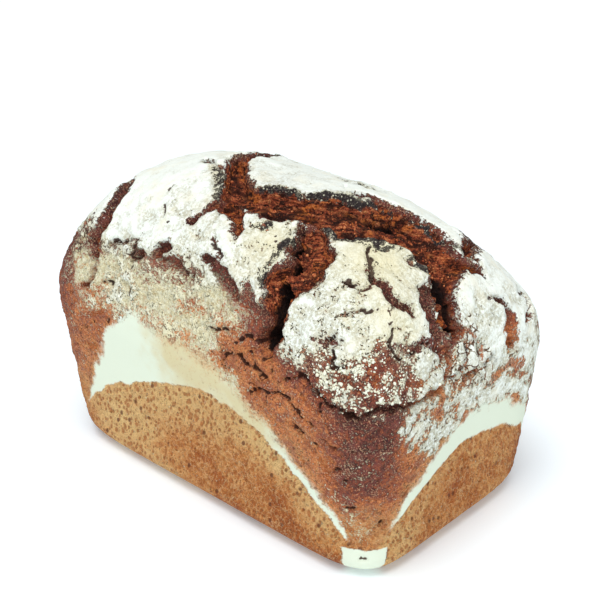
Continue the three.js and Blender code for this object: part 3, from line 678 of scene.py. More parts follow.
class LoafMesh:
    """The closed base form: a square cap on top, rings down to the base, and the flat base."""

    def __init__(self):
        self.points = []
        self.count = 0
        self.quads = []
        self.triangles = []
        self.columns, self.rows = self.cap()
        self.border = self.cap_border()
        last_ring = self.sides()
        self.base(last_ring)
        self.points = np.concatenate(self.points)
        self.quads = np.concatenate(self.quads)
        self.triangles = np.array(self.triangles)

    def add(self, x, y, z):
        """Adds points and returns their indices."""
        block = np.stack(np.broadcast_arrays(x, y, z), -1).astype(float).reshape(-1, 3)
        self.points.append(block)
        self.count += len(block)
        return np.arange(self.count - len(block), self.count)

    def cap(self):
        """A grid of even cells over the middle of the dome, bent to the plan's rounded outline."""
        reach_x = SPINE_HALF + CAP_SHARE * END_REACH
        reach_y = CAP_SHARE * HALF_WIDTH
        columns = even_places(-reach_x, reach_x, CELL, lambda x: crown_height(x, 0 * x))
        rows = even_places(-reach_y, reach_y, CELL, lambda y: crown_height(0 * y, y))
        grid_x, grid_y = np.meshgrid(columns, rows)
        end_share, side_share = plan_shares(grid_x, grid_y)
        x = np.sign(grid_x) * (np.minimum(np.abs(grid_x), SPINE_HALF) + END_REACH * end_share)
        y = np.sign(grid_y) * HALF_WIDTH * side_share
        index = self.add(x, y, crown_height(x, y)).reshape(grid_x.shape)
        cells = np.stack([index[:-1, :-1], index[:-1, 1:], index[1:, 1:], index[1:, :-1]], -1)
        self.quads.append(cells.reshape(-1, 4))
        self.cap_index = index
        return columns, rows

    def cap_border(self):
        """Indices round the cap, anticlockwise from above, with each one's plan direction."""
        index = self.cap_index
        grid_x, grid_y = np.meshgrid(self.columns, self.rows)

        def walk(values):
            return np.concatenate([values[0, :-1], values[:-1, -1], values[-1, :0:-1], values[:0:-1, 0]])

        border_x, border_y = walk(grid_x), walk(grid_y)
        end_share, side_share = plan_shares(border_x, border_y)
        spine_x = np.clip(border_x, -SPINE_HALF, SPINE_HALF)
        return {
            "index": walk(index),
            "spine_x": spine_x,
            "toward_x": np.sign(border_x) * end_share / CAP_SHARE,
            "toward_y": np.sign(border_y) * side_share / CAP_SHARE,
        }

    def ring(self, level, inset, z=None):
        """A ring at that level of the plan outline; without a height it lies on the dome."""
        border = self.border
        x = border["spine_x"] + (END_REACH * level - inset) * border["toward_x"]
        y = (HALF_WIDTH * level - inset) * border["toward_y"]
        return self.add(x, y, crown_height(x, y) if z is None else z)

    def join(self, upper, lower):
        cells = np.stack([np.roll(upper, -1), upper, lower, np.roll(lower, -1)], -1)
        self.quads.append(cells)

    def sides(self):
        def profile(level):
            return crown_height(0 * level, HALF_WIDTH * level) / HALF_WIDTH

        upper = self.border["index"]
        levels = even_places(CAP_SHARE, 1, CELL / HALF_WIDTH, profile)
        for level in levels[1:]:
            lower = self.ring(level, 0)
            self.join(upper, lower)
            upper = lower
        wall_count = round((SHOULDER_HEIGHT - BASE_EDGE_RADIUS) / WALL_CELL)
        heights = np.linspace(SHOULDER_HEIGHT, BASE_EDGE_RADIUS, wall_count)
        turn = np.linspace(0, math.pi / 2, round(BASE_EDGE_RADIUS * math.pi / 2 / WALL_CELL))
        edge = BASE_EDGE_RADIUS * (1 - np.sin(turn))
        for z in np.concatenate([heights[1:], edge[1:]]):
            lower = self.ring(1, wall_inset(z), z)
            self.join(upper, lower)
            upper = lower
        return upper

    def base(self, outline):
        upper = outline
        edge = np.concatenate(self.points)[outline]
        for ring in range(1, BASE_RINGS):
            share = 1 - ring / BASE_RINGS
            lower = self.add(edge[:, 0] * share, edge[:, 1] * share, 0)
            self.join(upper, lower)
            upper = lower
        middle = self.add(0, 0, 0)[0]
        self.triangles = [(middle, b, a) for a, b in zip(upper, np.roll(upper, -1))]

    def normals(self, points):
        """Area-weighted normals of the mesh with these points."""
        total = np.zeros_like(points)
        faces = np.concatenate([self.quads[:, [0, 1, 2]], self.quads[:, [0, 2, 3]], self.triangles])
        a, b, c = (points[faces[:, n]] for n in range(3))
        across = np.cross(b - a, c - a)
        for n in range(3):
            for axis in range(3):
                total[:, axis] += np.bincount(faces[:, n], across[:, axis], len(points))
        return total / np.linalg.norm(total, axis=1, keepdims=True)


# ---- Tears ---------------------------------------------------------------------------------


def smooth_path(path, step):
    """Centripetal curve through (x, y, z, half-width) points, as in the CAD source."""
    path = np.array(path, float)
    padded = np.concatenate([[2 * path[0] - path[1]], path, [2 * path[-1] - path[-2]]])
    places = []
    for p0, p1, p2, p3 in zip(padded, padded[1:], padded[2:], padded[3:]):
        lengths = [np.linalg.norm((b - a)[:3]) for a, b in ((p0, p1), (p1, p2), (p2, p3))]
        gaps = [max(length ** 0.5, SMALLEST_GAP) for length in lengths]
        leave = (p1 - p0) / gaps[0] - (p2 - p0) / (gaps[0] + gaps[1]) + (p2 - p1) / gaps[1]
        arrive = (p2 - p1) / gaps[1] - (p3 - p1) / (gaps[1] + gaps[2]) + (p3 - p2) / gaps[2]
        leave, arrive = leave * gaps[1], arrive * gaps[1]
        count = max(2, math.ceil(lengths[1] / step))
        t = np.linspace(0, 1, count, endpoint=False)[:, None]
        curve = (2 * t**3 - 3 * t**2 + 1) * p1 + (t**3 - 2 * t**2 + t) * leave
        curve += (3 * t**2 - 2 * t**3) * p2 + (t**3 - t**2) * arrive
        curve[:, 3] = lerp(p1[3], p2[3], t[:, 0])
        places.append(curve)
    places.append(path[-1:])
    return np.concatenate(places)


def reach_of(path, points, margin):
    """Each point's distance from a tear's middle, and the tear's half-width there.

    Points further than `margin` beyond its width are left far away."""
    route = smooth_path(path, PATH_STEP)
    distance = np.full(len(points), FAR_AWAY)
    half_width = np.ones(len(points))
    edge = margin + route[:, 3].max()
    low, high = route[:, :3].min(0) - edge, route[:, :3].max(0) + edge
    near = np.flatnonzero(np.all((points > low) & (points < high), axis=1))
    close = points[near]
    best = np.full(len(near), np.inf)
    for start, end in zip(route, route[1:]):
        along = (end - start)[:3]
        share = np.clip((close - start[:3]) @ along / (along @ along), 0, 1)
        gap = np.linalg.norm(close - start[:3] - share[:, None] * along, axis=1)
        width = lerp(start[3], end[3], share)
        better = gap / width < best
        best[better] = (gap / width)[better]
        distance[near[better]] = gap[better]
        half_width[near[better]] = width[better]
    return distance, half_width


def tear_fields(points):
    """Depth, lip, clearance and kinds of all tears at each point."""
    blended, opened, crease, pit, lip = np.zeros((5, len(points)))
    clear = np.full(len(points), FAR_AWAY)
    for depth, lip_height, path in TEARS:
        distance, half_width = reach_of(path, points, TEAR_MARGIN)
        share = 1 - smoothstep(distance / half_width, TEAR_FLOOR, 1)
        outside = np.maximum(0, distance - half_width)
        blended += (depth * share) ** TEAR_BLEND
        wide = np.clip(half_width / OPEN_WIDTH, 0, 1)
        opened = np.maximum(opened, share * wide * smoothstep(depth, *OPEN_DEPTH))
        crease = np.maximum(crease, share)
        # Where a tear is deep enough to be painted black as shade.
        pit = np.maximum(pit, share * smoothstep(depth, *PIT_DEPTH))
        lip = np.maximum(lip, lip_height * np.exp(-(outside / LIP_SPREAD) ** 2))
        shallow = 1 - smoothstep(depth, *SHALLOW_DEPTH)
        clear = np.minimum(clear, distance - half_width + MARGIN["shallow"] * shallow)
    depth = blended ** (1 / TEAR_BLEND)
    return SimpleNamespace(depth=depth, opened=opened, crease=crease, pit=pit, lip=lip, clear=clear)


def random_cracks(points, normals):
    """Short wandering cracks over the dome, each a depth and a path like those in CRACKS."""
    random = np.random.default_rng(RANDOM_CRACKS["seed"])
    on_dome = np.flatnonzero(points[:, 2] > DOME_START)
    lines = []
    for start in random.choice(on_dome, RANDOM_CRACKS["count"], replace=False):
        place, normal = points[start], normals[start]
        heading = np.cross(normal, random.normal(size=3))
        width = random.uniform(*RANDOM_CRACKS["width"])
        path = []
        for _ in range(random.integers(*RANDOM_CRACKS["points"])):
            path.append((*place, width))
            bend = RANDOM_CRACKS["bend"] * np.linalg.norm(heading)
            heading = heading + bend * np.cross(normal, random.normal(size=3))
            heading *= RANDOM_CRACKS["stride"] / np.linalg.norm(heading)
            place = place + heading
            nearest = np.argmin(np.sum((points - place) ** 2, axis=1))
            place, normal = points[nearest], normals[nearest]
        lines.append((RANDOM_CRACKS["depth"], path))
    return lines


def crack_fields(points, lines):
    """Depth of the narrow cracks, and their painted shade from 0 to 1."""
    depth, dark = np.zeros((2, len(points)))
    strayed = stray(points, CRACK_FRAY)
    for deepest, path in lines:
        distance, half_width = reach_of(path, strayed, CRACK_MARGIN)
        share = 1 - smoothstep(distance, 0.25 * half_width, half_width + CRACK_EDGE)
        depth = np.maximum(depth, deepest * share)
        dark = np.maximum(dark, share)
    return depth, dark


def fissures(along_line):
    """1 along short broken cracks; the places are given along the tin's line."""
    line = np.abs(sampled(along_line, FISSURES))
    broken = sampled(along_line, FISSURE_BREAKS)
    return (1 - smoothstep(line, 0.02, 0.15)) * smoothstep(broken, 0.05, 0.35)


# ---- Where flour lies and how the crust baked ----------------------------------------------


def turn_of(x, y):
    """The place round the loaf, from 0 to TURNS."""
    a = x / HALF_LENGTH
    b = y / HALF_WIDTH
    size = np.maximum(np.maximum(np.abs(a), np.abs(b)), TINY)
    side = np.where(b < 0, 1 + a / size, 5 - a / size)
    end = np.where(a > 0, 3 + b / size, 7 - b / size)
    return np.where(np.abs(b) >= np.abs(a), side, end)


def around(curve, turn):
    """A value given round the loaf as (turn, value) pairs."""
    turns, values = np.array(curve, float).T
    return np.interp(turn, turns, values, period=TURNS)


def spot_sum(points, spots):
    total = np.zeros(len(points))
    for centre, radius, amount in spots:
        share = np.linalg.norm(points - np.array(centre), axis=1) / radius
        total += amount * np.exp(-1.5 * share * share)
    return total


def stray(points, table):
    """Points moved about by noise, so that what is drawn through them gets a ragged edge."""
    moved = points.copy()
    for axis in range(3):
        moved[:, axis] += shift(points, table, 4 * axis)
    return moved


def stroke_share(paths, strayed, edge):
    """1 along the paths, falling to 0 over `edge` millimetres beyond their half-width."""
    share = np.zeros(len(strayed))
    for path in paths:
        distance, half_width = reach_of(path, strayed, edge + 2)
        share = np.maximum(share, 1 - smoothstep(distance - half_width, -0.6 * edge, edge))
    return share


def survey(points):
    """What several fields need to know of the points of the base form."""
    at = SimpleNamespace(points=points, x=points[:, 0], z=points[:, 2])
    at.turn = turn_of(points[:, 0], points[:, 1])
    at.frayed = stray(points, WANDER) + (stray(points, FRAY) - points)
    at.dome = smoothstep(at.z, DOME_START, DOME_FULL)
    at.patchy = sampled(points, PATCHES)
    at.clumps = sampled(points, CLUMPS)
    at.line = around(ARCH, at.turn) + (shift(points, LINE_WAVE) + shift(points, LINE_WAVELETS))
    at.above_line = at.z - at.line
    side_length = np.where(at.turn % 4 < 2, HALF_LENGTH, HALF_WIDTH)
    from_corner = side_length * np.abs((at.turn + 1) % 2 - 1)
    at.corner = np.exp(-(from_corner / CORNER_REACH) ** 4)
    return at


def foot_patch(points):
    """1 in the patch of flour round the foot of the front corner, flat on top and narrower below."""
    centre, half_width, half_height = FOOT_PATCH
    from_centre = points - centre
    across = (from_centre[:, 0] + from_centre[:, 1]) / math.sqrt(2)
    up = from_centre[:, 2] / half_height
    outward = (from_centre[:, 0] - from_centre[:, 1]) > -2 * half_width
    reach = np.maximum(np.abs(across) / (half_width * (1 + FOOT_FLARE * up)), np.abs(up))
    return outward * (1 - smoothstep(reach + shift(points, FOOT_EDGE), 0.92, 1.06))


def flour_band(at, cream):
    """1 in the smooth band of flour above the tin's line, and in the patch at the front corner."""
    height = around(BAND, at.turn + shift(at.points, BAND_END))
    top = at.line + height + shift(at.points, BAND_TOP)
    edge = lerp(*BAND_EDGE, cream)
    band = smoothstep(at.above_line, -0.8, 0.8) * smoothstep((top - at.z) / edge, -1, 1)
    band *= smoothstep(height, *BAND_FADE) ** 0.5 * lerp(1, CREAM_BAND_COVER, cream)
    return np.maximum(band, foot_patch(at.points))


def bare_gap(at, tears):
    """1 where no flour lies: in the gaps between the plates and beside the tears."""
    gap = GAP_BARENESS * stroke_share(BARE_GAPS, at.frayed, GAP_EDGE)
    margin = lerp(MARGIN["narrow"], MARGIN["wide"], 0.5 + 0.5 * sampled(at.points, MARGIN))
    gap = np.maximum(gap, 1 - smoothstep(tears.clear, margin - 2, margin + 1.5))
    return gap * lerp(SHALLOW_BARENESS, 1, smoothstep(tears.depth, *SHALLOW_DEPTH))


def dusting(at, flow, scorched):
    """How thick flour lies: none low down, part cover between, and full cover on the crown."""
    low = around(DUST_LOW, at.turn)
    full = around(DUST_FULL, at.turn)
    share = around(DUST_SHARE, at.turn)
    ragged_z = at.z + PATCH_RISE * at.patchy
    dust = share * smoothstep(ragged_z, low - 6, low + 5)
    dust += (1 - share) * smoothstep(ragged_z, full - 6, full + 6)
    near_dust = smoothstep(at.z, low - NEAR_DUST[0], low - NEAR_DUST[1])
    uneven = NEAR_DUST_PATCHES * at.patchy + NEAR_DUST_FLOW * flow * (1 - at.dome)
    dust += spot_sum(at.points, FLOUR_SPOTS) + near_dust * uneven
    dust = np.clip(dust, 0, 1.3) * (1 - SCORCH_BARENESS * scorched)
    clumped = smoothstep(dust, 0.05, 0.3) * lerp(*CLUMPING, smoothstep(dust, 0.65, 1.0))
    return np.clip(dust + clumped * at.clumps, 0, 1.2)


def thin_film(at, flow, gap, tear_depth):
    """How much of the thin see-through dusting lies on the crust."""
    film = spot_sum(at.points, FILM_SPOTS) + FILM_PATCHES * at.patchy + FILM_PATCHES * flow
    bared = gap * lerp(0.35, 1, smoothstep(tear_depth, 2, 4))
    return np.clip(film, 0, 1) * ((1 - bared) * smoothstep(at.above_line, 0, 3))


def baking(at, purple):
    """How dark the crust baked: 0 tan, 1 nearly black."""
    bake = lerp(BAKE["tin"], BAKE["wall"], smoothstep(at.above_line, -4, 24))
    bake += BAKE["purple"] * purple
    up_corner = smoothstep(at.z + CORNER_RISE * at.patchy, *CORNER_DARKENING)
    corner_bake = lerp(BAKE["corner_low"], BAKE["corner_high"], up_corner)
    bake = lerp(bake, corner_bake, 0.9 * at.corner * smoothstep(at.above_line, 0, 6))
    bake += shift(at.points, BAKE_PATCHES) + 0.06 * at.patchy
    paleness = END_PALENESS[0] + END_PALENESS[1] * smoothstep(at.z, 72, 50)
    bake -= paleness * smoothstep(at.x, -70, -95) * (1 - at.dome)
    return np.clip(bake, 0, 1)


def tin_skin(at):
    """1 on the tan skin that touched the tin, and how browned that skin is."""
    corner_foot = at.corner * (1 - smoothstep(at.z + PATCH_RISE * at.patchy, *CORNER_FOOT))
    tin = np.maximum(1 - smoothstep(at.above_line, -1.5, 2.5), CORNER_FOOT_TAN * corner_foot)
    low_on_side = smoothstep(at.above_line, -5, -30) * smoothstep(at.x, -60, 30)
    browned = BROWNED["least"] + BROWNED["front"] * low_on_side * (1 - smoothstep(at.turn, 1.8, 2.2))
    browned += BROWNED["end"] * smoothstep(at.turn, 2.0, 2.9)
    patches = BROWNED["corner_foot"] * corner_foot + shift(at.points, BROWN_PATCHES)
    browned += patches + shift(at.points, BROWN_SPECKS)
    return tin, np.clip(browned, 0, 1)


def relief(at, tears, dust, gap):
    """How far flour, crumb, tears and lumps push the crust out of the base form."""
    points = at.points
    height = LUMPS["height"] * (1 - TIN_SMOOTHNESS * (1 - at.dome)) * sampled(points, LUMPS)
    height += KNOBS["height"] * at.dome * sampled(points, KNOBS)
    height += spot_sum(points, SWELLS)
    height += tears.lip * (1 - tears.opened) - tears.depth
    height += CRUMB["height"] * tears.opened * sampled(points, CRUMB)
    height += FINE_CRUMB["height"] * tears.opened * sampled(points, FINE_CRUMB)
    along = points / np.array([STRANDS["stretch"], 1, 1])
    height += STRANDS["height"] * tears.opened * sampled(along, STRANDS)
    height += (np.minimum(dust, 1) * (1 - gap) - 1) * FLOUR_THICKNESS * at.dome
    buried = THICK_SMOOTHNESS * smoothstep(dust, *THICK_FLOUR)
    height += CLUMPS["height"] * at.dome * (1 - tears.opened) * (1 - buried) * at.clumps
    return height


def loaf_fields(points, normals):
    """The relief and the named surface fields at points of the base form."""
    at = survey(points)
    tears = tear_fields(at.frayed)
    cream = np.clip(spot_sum(points, CREAM_SPOTS), 0, 1)
    band = flour_band(at, cream)
    along_flow = [at.turn * FLOW["around"] / FLOW["stretch"], at.above_line, 0 * at.z]
    flow = sampled(np.stack(along_flow, 1), FLOW)
    gap = bare_gap(at, tears)
    scorched = stroke_share(SCORCHED, at.frayed, SCORCH_EDGE) * smoothstep(at.patchy, -1.3, -0.3)
    dust = dusting(at, flow, scorched)
    film = thin_film(at, flow, gap, tears.depth)
    purple_low = around(PURPLE_LOW, at.turn) + PURPLE_RISE * at.patchy
    purple = smoothstep(at.z, purple_low - 6, purple_low + 8)
    tin, browned = tin_skin(at)

    # Ridges and short cracks of the bare wall, and the narrow cracks, with masks for painted shade in
    # the ridges' hollows and in the cracks.
    unfloured = (1 - band) * (1 - smoothstep(dust + film, 0.3, 0.7))
    bare_wall = smoothstep(at.above_line, 3, 12) * unfloured * (1 - tears.opened)
    stretch = RIDGES["stretch"]
    along_line = np.stack([points[:, 0] / stretch, points[:, 1] / stretch, at.above_line], 1)
    ridges = sampled(along_line, RIDGES)
    # Painted shade in the hollows between the ridges.
    cleft = bare_wall * (1 - smoothstep(ridges, -0.6, -0.25))
    cleft *= (1 - smoothstep(at.corner, 0.1, 0.5)) * (1 - purple)
    fissured = fissures(along_line) * bare_wall * (1 - smoothstep(at.corner, 0.2, 0.7))
    crack_depth, crack_shade = crack_fields(points, CRACKS + random_cracks(points, normals))
    crack_depth = np.maximum(crack_depth, FISSURES["depth"] * fissured)
    crack_shade = np.maximum(crack_shade, FISSURES["darkness"] * fissured)
    foot_share = smoothstep(at.z, 0, BASE_FADE)
    crack_share = (1 - tears.opened) * foot_share

    bare = (1 - dust * (1 - gap)) * (1 - band) * (1 - tears.opened)
    pores = smoothstep(sampled(points, PORES), 0.6, 1.0)
    height = relief(at, tears, dust, gap)
    height += RIDGES["height"] * ridges * bare_wall
    height += bare * GRANULES["height"] * sampled(points, GRANULES)
    height -= pores * bare * lerp(PORES["depth"], PORES["dome_depth"], at.dome)
    height -= crack_depth * crack_share
    height -= GAP_DEPTH * gap * (1 - tears.opened) * at.dome
    return height * foot_share, {
        "dust": dust,
        "film": film,
        "cream": cream,
        "browned": browned,
        "band": band,
        "bake": baking(at, purple),
        "tin": tin,
        "open": tears.opened,
        # Share of a tear's depth, for the crumb's painted shade.
        "deep": np.clip(tears.depth / CRUMB_DEPTH, 0, 1),
        # Deepest tears, painted near black as their shade.
        "pit": tears.pit,
        "burnt": scorched,
        "gap": np.maximum(gap, 0.8 * tears.crease),
        # Creases of closed tears, which get painted shade.
        "crease": tears.crease * (1 - tears.opened),
        # Narrow cracks and fissures, which get painted shade.
        "crack": crack_shade * crack_share,
        # Hollows between ridges of the bare wall, which get painted shade.
        "cleft": cleft,
        "crackle": np.clip(spot_sum(points, CRACKLED) * (1 + 0.5 * at.patchy), 0, 1),
    }


# ---- Materials -----------------------------------------------------------------------------


class Graph:
    """Short ways to build a material's node tree."""

    def __init__(self, name):
        self.material = bpy.data.materials.new(name)
        self.material.use_nodes = True
        self.tree = self.material.node_tree
        self.tree.nodes.clear()
        self.place = self.add("TexCoord").outputs["Object"]

    def add(self, kind, inputs=None, **settings):
        """Adds a node; an input is a value or another node's output."""
        node = self.tree.nodes.new("ShaderNode" + kind)
        for name, value in settings.items():
            setattr(node, name, value)
        for name, value in (inputs or {}).items():
            if isinstance(value, bpy.types.NodeSocket):
                self.tree.links.new(value, node.inputs[name])
            else:
                node.inputs[name].default_value = value
        return node

    def field(self, name):
        return self.add("Attribute", attribute_name=name).outputs["Fac"]

    def math(self, operation, first, second=0.0):
        return self.add("Math", {0: first, 1: second}, operation=operation).outputs[0]

    plus = partialmethod(math, "ADD")
    minus = partialmethod(math, "SUBTRACT")
    times = partialmethod(math, "MULTIPLY")
    larger = partialmethod(math, "MAXIMUM")

    def drawn_out(self, turn, stretch):
        """The place squeezed along turned axes, so that noise on it is drawn out along them."""
        inputs = {"Vector": self.place, "Rotation": turn, "Scale": stretch}
        return self.add("Mapping", inputs, vector_type="TEXTURE").outputs["Vector"]

    def noise(self, size, detail=2.0, roughness=0.55, place=None):
        """Noise around 0.5 whose features are about `size` millimetres."""
        vector = self.place if place is None else place
        inputs = {"Vector": vector, "Scale": 1 / (size * MM), "Detail": detail, "Roughness": roughness}
        return self.add("TexNoise", inputs).outputs["Fac"]

    def spread(self, value, *swings):
        """value plus noises, each given with the amount by which it swings each way."""
        for centre_noise, amount in swings:
            value = self.plus(value, self.times(self.minus(centre_noise, 0.5), 3 * amount))
        return value

    def step(self, value, low, high, start=0.0, end=1.0):
        """Goes smoothly from start to end while value goes from low to high, up or down."""
        inputs = {"Value": value, "From Min": low, "From Max": high, "To Min": start, "To Max": end}
        return self.add("MapRange", inputs, interpolation_type="SMOOTHSTEP").outputs["Result"]

    def mix(self, share, first, second):
        return self.add("Mix", {0: share, 6: first, 7: second}, data_type="RGBA").outputs[2]

    def tint(self, colour, other, value, low, high, most=1.0):
        """colour, of which up to `most` turns into the other one while value goes from low to high."""
        return self.mix(self.step(value, low, high, 0.0, most), colour, other)

    def cracks(self, size, width, bend):
        """1 on the edges of cells about `size` millimetres wide, with wavy lines of that width."""
        waves = {"Vector": self.place, "Scale": 1 / (bend * MM), "Detail": 3.0}
        moves = {0: self.add("TexNoise", waves).outputs["Color"], 1: (bend * MM,) * 3, 2: self.place}
        bent = self.add("VectorMath", moves, operation="MULTIPLY_ADD").outputs["Vector"]
        cells = {"Vector": bent, "Scale": 1 / (size * MM)}
        distance = self.add("TexVoronoi", cells, feature="DISTANCE_TO_EDGE").outputs["Distance"]
        return self.step(distance, 0.2 * width / size, width / size, 1.0, 0.0)

    def spots(self, size, radius, share, place):
        """1 in round spots of that radius, which lie in that share of cells `size` millimetres wide."""
        cells = self.add("TexVoronoi", {"Vector": place, "Scale": 1 / (size * MM)})
        lot = self.add("SeparateColor", {"Color": cells.outputs["Color"]}).outputs["Red"]
        chosen = self.step(self.minus(share, lot), -0.05, 0.05)
        inside = self.step(cells.outputs["Distance"], 0.6 * radius / size, 1.2 * radius / size, 1.0, 0.0)
        return self.times(inside, chosen)

    def ramp(self, value, stops):
        node = self.add("ValToRGB", {"Fac": value})
        elements = node.color_ramp.elements
        while len(elements) < len(stops):
            elements.new(1.0)
        for element, (position, colour) in zip(elements, stops):
            element.position = position
            element.color = colour
        return node.outputs["Color"]

    def bump(self, height, distance, strength, below=None):
        """A normal bent by the height, on top of the relief below it if one is given."""
        inputs = {"Height": height, "Distance": distance * MM, "Strength": strength}
        if below is not None:
            inputs["Normal"] = below
        return self.add("Bump", inputs).outputs["Normal"]

    def finish(self, colour, roughness, specular, more):
        """Ends the tree in a shader with these inputs, and returns the material."""
        inputs = {"Base Color": colour, "Roughness": roughness, "Specular IOR Level": specular, **more}
        shader = self.add("BsdfPrincipled", inputs)
        self.add("OutputMaterial", {"Surface": shader.outputs["BSDF"]})
        return self.material


def bare_crust_colour(graph, dot, grain, blotch):
    """Baked crust above the tin's line."""
    bake = graph.plus(graph.field("bake"), graph.times(graph.field("gap"), 0.05))
    bake = graph.spread(bake, (blotch, 0.20), (grain, 0.30), (dot, 0.28))
    crust = graph.ramp(bake, CRUST_STOPS)
    granule = graph.noise(1.0, 3.0, 0.7)
    grain_share = graph.step(bake, 0.82, 0.50, 0.12, 1.0)
    light = graph.times(graph.step(granule, 0.50, 0.64, 0.0, 0.75), grain_share)
    crust = graph.mix(light, crust, CRUST_GRAIN)
    crust = graph.tint(crust, CRUST_SPECK, granule, 0.46, 0.34, 0.6)
    crust = graph.tint(crust, CRUST_PURPLE, graph.noise(5.0, 4.0, 0.6), 0.48, 0.62, 0.5)
    crust = graph.tint(crust, CRUST_SPECK, graph.noise(1.5), 0.60, 0.68, 0.7)
    # Painted shade in the hollows between the ridges.
    cleft = graph.spread(graph.field("cleft"), (grain, 0.5), (dot, 0.5))
    crust = graph.tint(crust, CLEFT_PAINTED_SHADE, cleft, 0.35, 0.85, 0.6)
    pale_dot = graph.spread(graph.noise(0.7, 1.0), (blotch, 0.15))
    return graph.tint(crust, PALE_GRAIN, pale_dot, 0.60, 0.69, 0.55)


def tin_skin_colour(graph, dot, blotch):
    """The tan porous skin that touched the tin, with painted shade in its holes, and where its pores
    are.
    """
    slanted = graph.drawn_out(PORE_TURN, PORE_STRETCH)
    ridge = graph.noise(1.5, 3.0, 0.6, slanted)
    browned = graph.spread(graph.field("browned"), (blotch, 0.2), (ridge, -0.2), (dot, 0.12))
    tan = graph.ramp(browned, TAN_STOPS)
    worm = graph.math("ABSOLUTE", graph.minus(graph.noise(2.4, place=slanted), 0.5))
    tan = graph.tint(tan, TIN_RIDGE, worm, 0.05, 0.01, 0.4)
    fewer_low = graph.step(graph.field("browned"), 0.3, 0.8, 0.88, 0.6)
    pit_share = graph.spread(fewer_low, (graph.noise(12.0), 0.6))
    wide_pit = graph.spots(*WIDE_PITS, graph.times(pit_share, 0.6), slanted)
    pit = graph.larger(graph.spots(*SMALL_PITS, pit_share, slanted), wide_pit)
    pinhole = graph.spots(*PINHOLES, graph.spread(0.45, (graph.noise(9.0), 0.5)), slanted)
    hole = graph.spots(*HOLES, 0.42, slanted)
    tan = graph.mix(graph.times(pit, 0.72), tan, TIN_PIT)
    # Painted shade in the pinholes and holes.
    tan = graph.mix(graph.larger(graph.times(pinhole, 0.55), graph.times(hole, 0.85)), tan, TIN_HOLE_PAINTED_SHADE)
    return tan, graph.larger(graph.larger(pit, hole), graph.step(ridge, 0.60, 0.40, 0.0, 0.6))


def crumb_colour(graph, dot):
    """Torn crumb drawn out along the great tear, with painted glints and painted shade in its hollows
    and deep tears, near black in the deepest.
    """
    strand = graph.noise(1.8, 4.0, 0.7, graph.drawn_out(STRAND_TURN, STRAND_STRETCH))
    strand = graph.spread(strand, (dot, 0.12))
    crumb = graph.ramp(strand, CRUMB_STOPS)
    amber = graph.times(graph.step(graph.noise(9.0), 0.50, 0.64), graph.step(strand, 0.42, 0.56))
    crumb = graph.mix(graph.times(amber, 0.7), crumb, CRUMB_AMBER)
    # Painted shade: dark hollows in the crumb.
    hollow_shade = graph.noise(4.2, 4.0, 0.65, graph.drawn_out(STRAND_TURN, HOLLOW_SHADE_STRETCH))
    crumb = graph.tint(crumb, CRUMB_PAINTED_SHADE, hollow_shade, 0.53, 0.60, 0.92)
    # Painted highlights: pale glints scattered over the crumb.
    crumb = graph.tint(crumb, CRUMB_PAINTED_HIGHLIGHT, graph.noise(0.7, 1.0), 0.66, 0.72, 0.5)
    # Painted shade, darker the deeper the tear.
    shade = graph.spread(graph.field("deep"), (graph.noise(7.0), 0.8))
    crumb = graph.tint(crumb, CRUMB_PAINTED_SHADE, shade, 0.6, 1.15, 0.85)
    # Painted shade: the deepest tears near black.
    return graph.tint(crumb, PIT_PAINTED_SHADE, graph.field("pit"), 0.12, 0.5, 0.97)


def scorched_colour(graph, dot):
    """Burnt rims, with ash and specks of flour on them."""
    ash = graph.tint(BURNT, BURNT_ASH, dot, 0.56, 0.66, 0.7)
    return graph.mix(graph.times(graph.spots(*ASH_SPECKS, 0.42, graph.place), 0.8), ash, FLOUR_THIN)


def flour_colour(graph, dust, cover, blotch):
    """Flour of the dusting, thin and yellowish where it ends and white where it is thick, with painted
    shade where its clumps thin and in a fine mottle.
    """
    # Painted shade where the flour's clumps thin.
    flour = graph.tint(FLOUR, FLOUR_PAINTED_SHADE, cover, 1.0, 0.55, 0.7)
    # Painted shade: a fine mottle standing in for the clumps' relief.
    mottled_shade = graph.step(graph.noise(1.3, 3.0), 0.42, 0.58, 1.0, 0.0)
    flour = graph.mix(graph.times(mottled_shade, graph.step(dust, 0.8, 1.2, 0.9, 0.06)), flour, FLOUR_PAINTED_SHADE)
    flour = graph.tint(flour, FLOUR_THIN, dust, 0.75, 0.35, 0.8)
    flour = graph.tint(flour, FLOUR_CREAM, blotch, 0.45, 0.75, 0.5)
    return graph.mix(graph.times(graph.field("cream"), 0.75), flour, FLOUR_WARM)


def band_colour(graph, blotch):
    """The smooth flour band that the tin pressed, cream in part and flecked."""
    creamy = graph.spread(graph.field("cream"), (blotch, 0.35))
    band = graph.tint(FLOUR_SMOOTH, BAND_CREAM, creamy, 0.1, 1.0)
    fleck = graph.times(graph.spots(*BAND_FLECKS, 0.3, graph.place), 0.55)
    return graph.mix(fleck, band, FILM_STOPS[0][1])


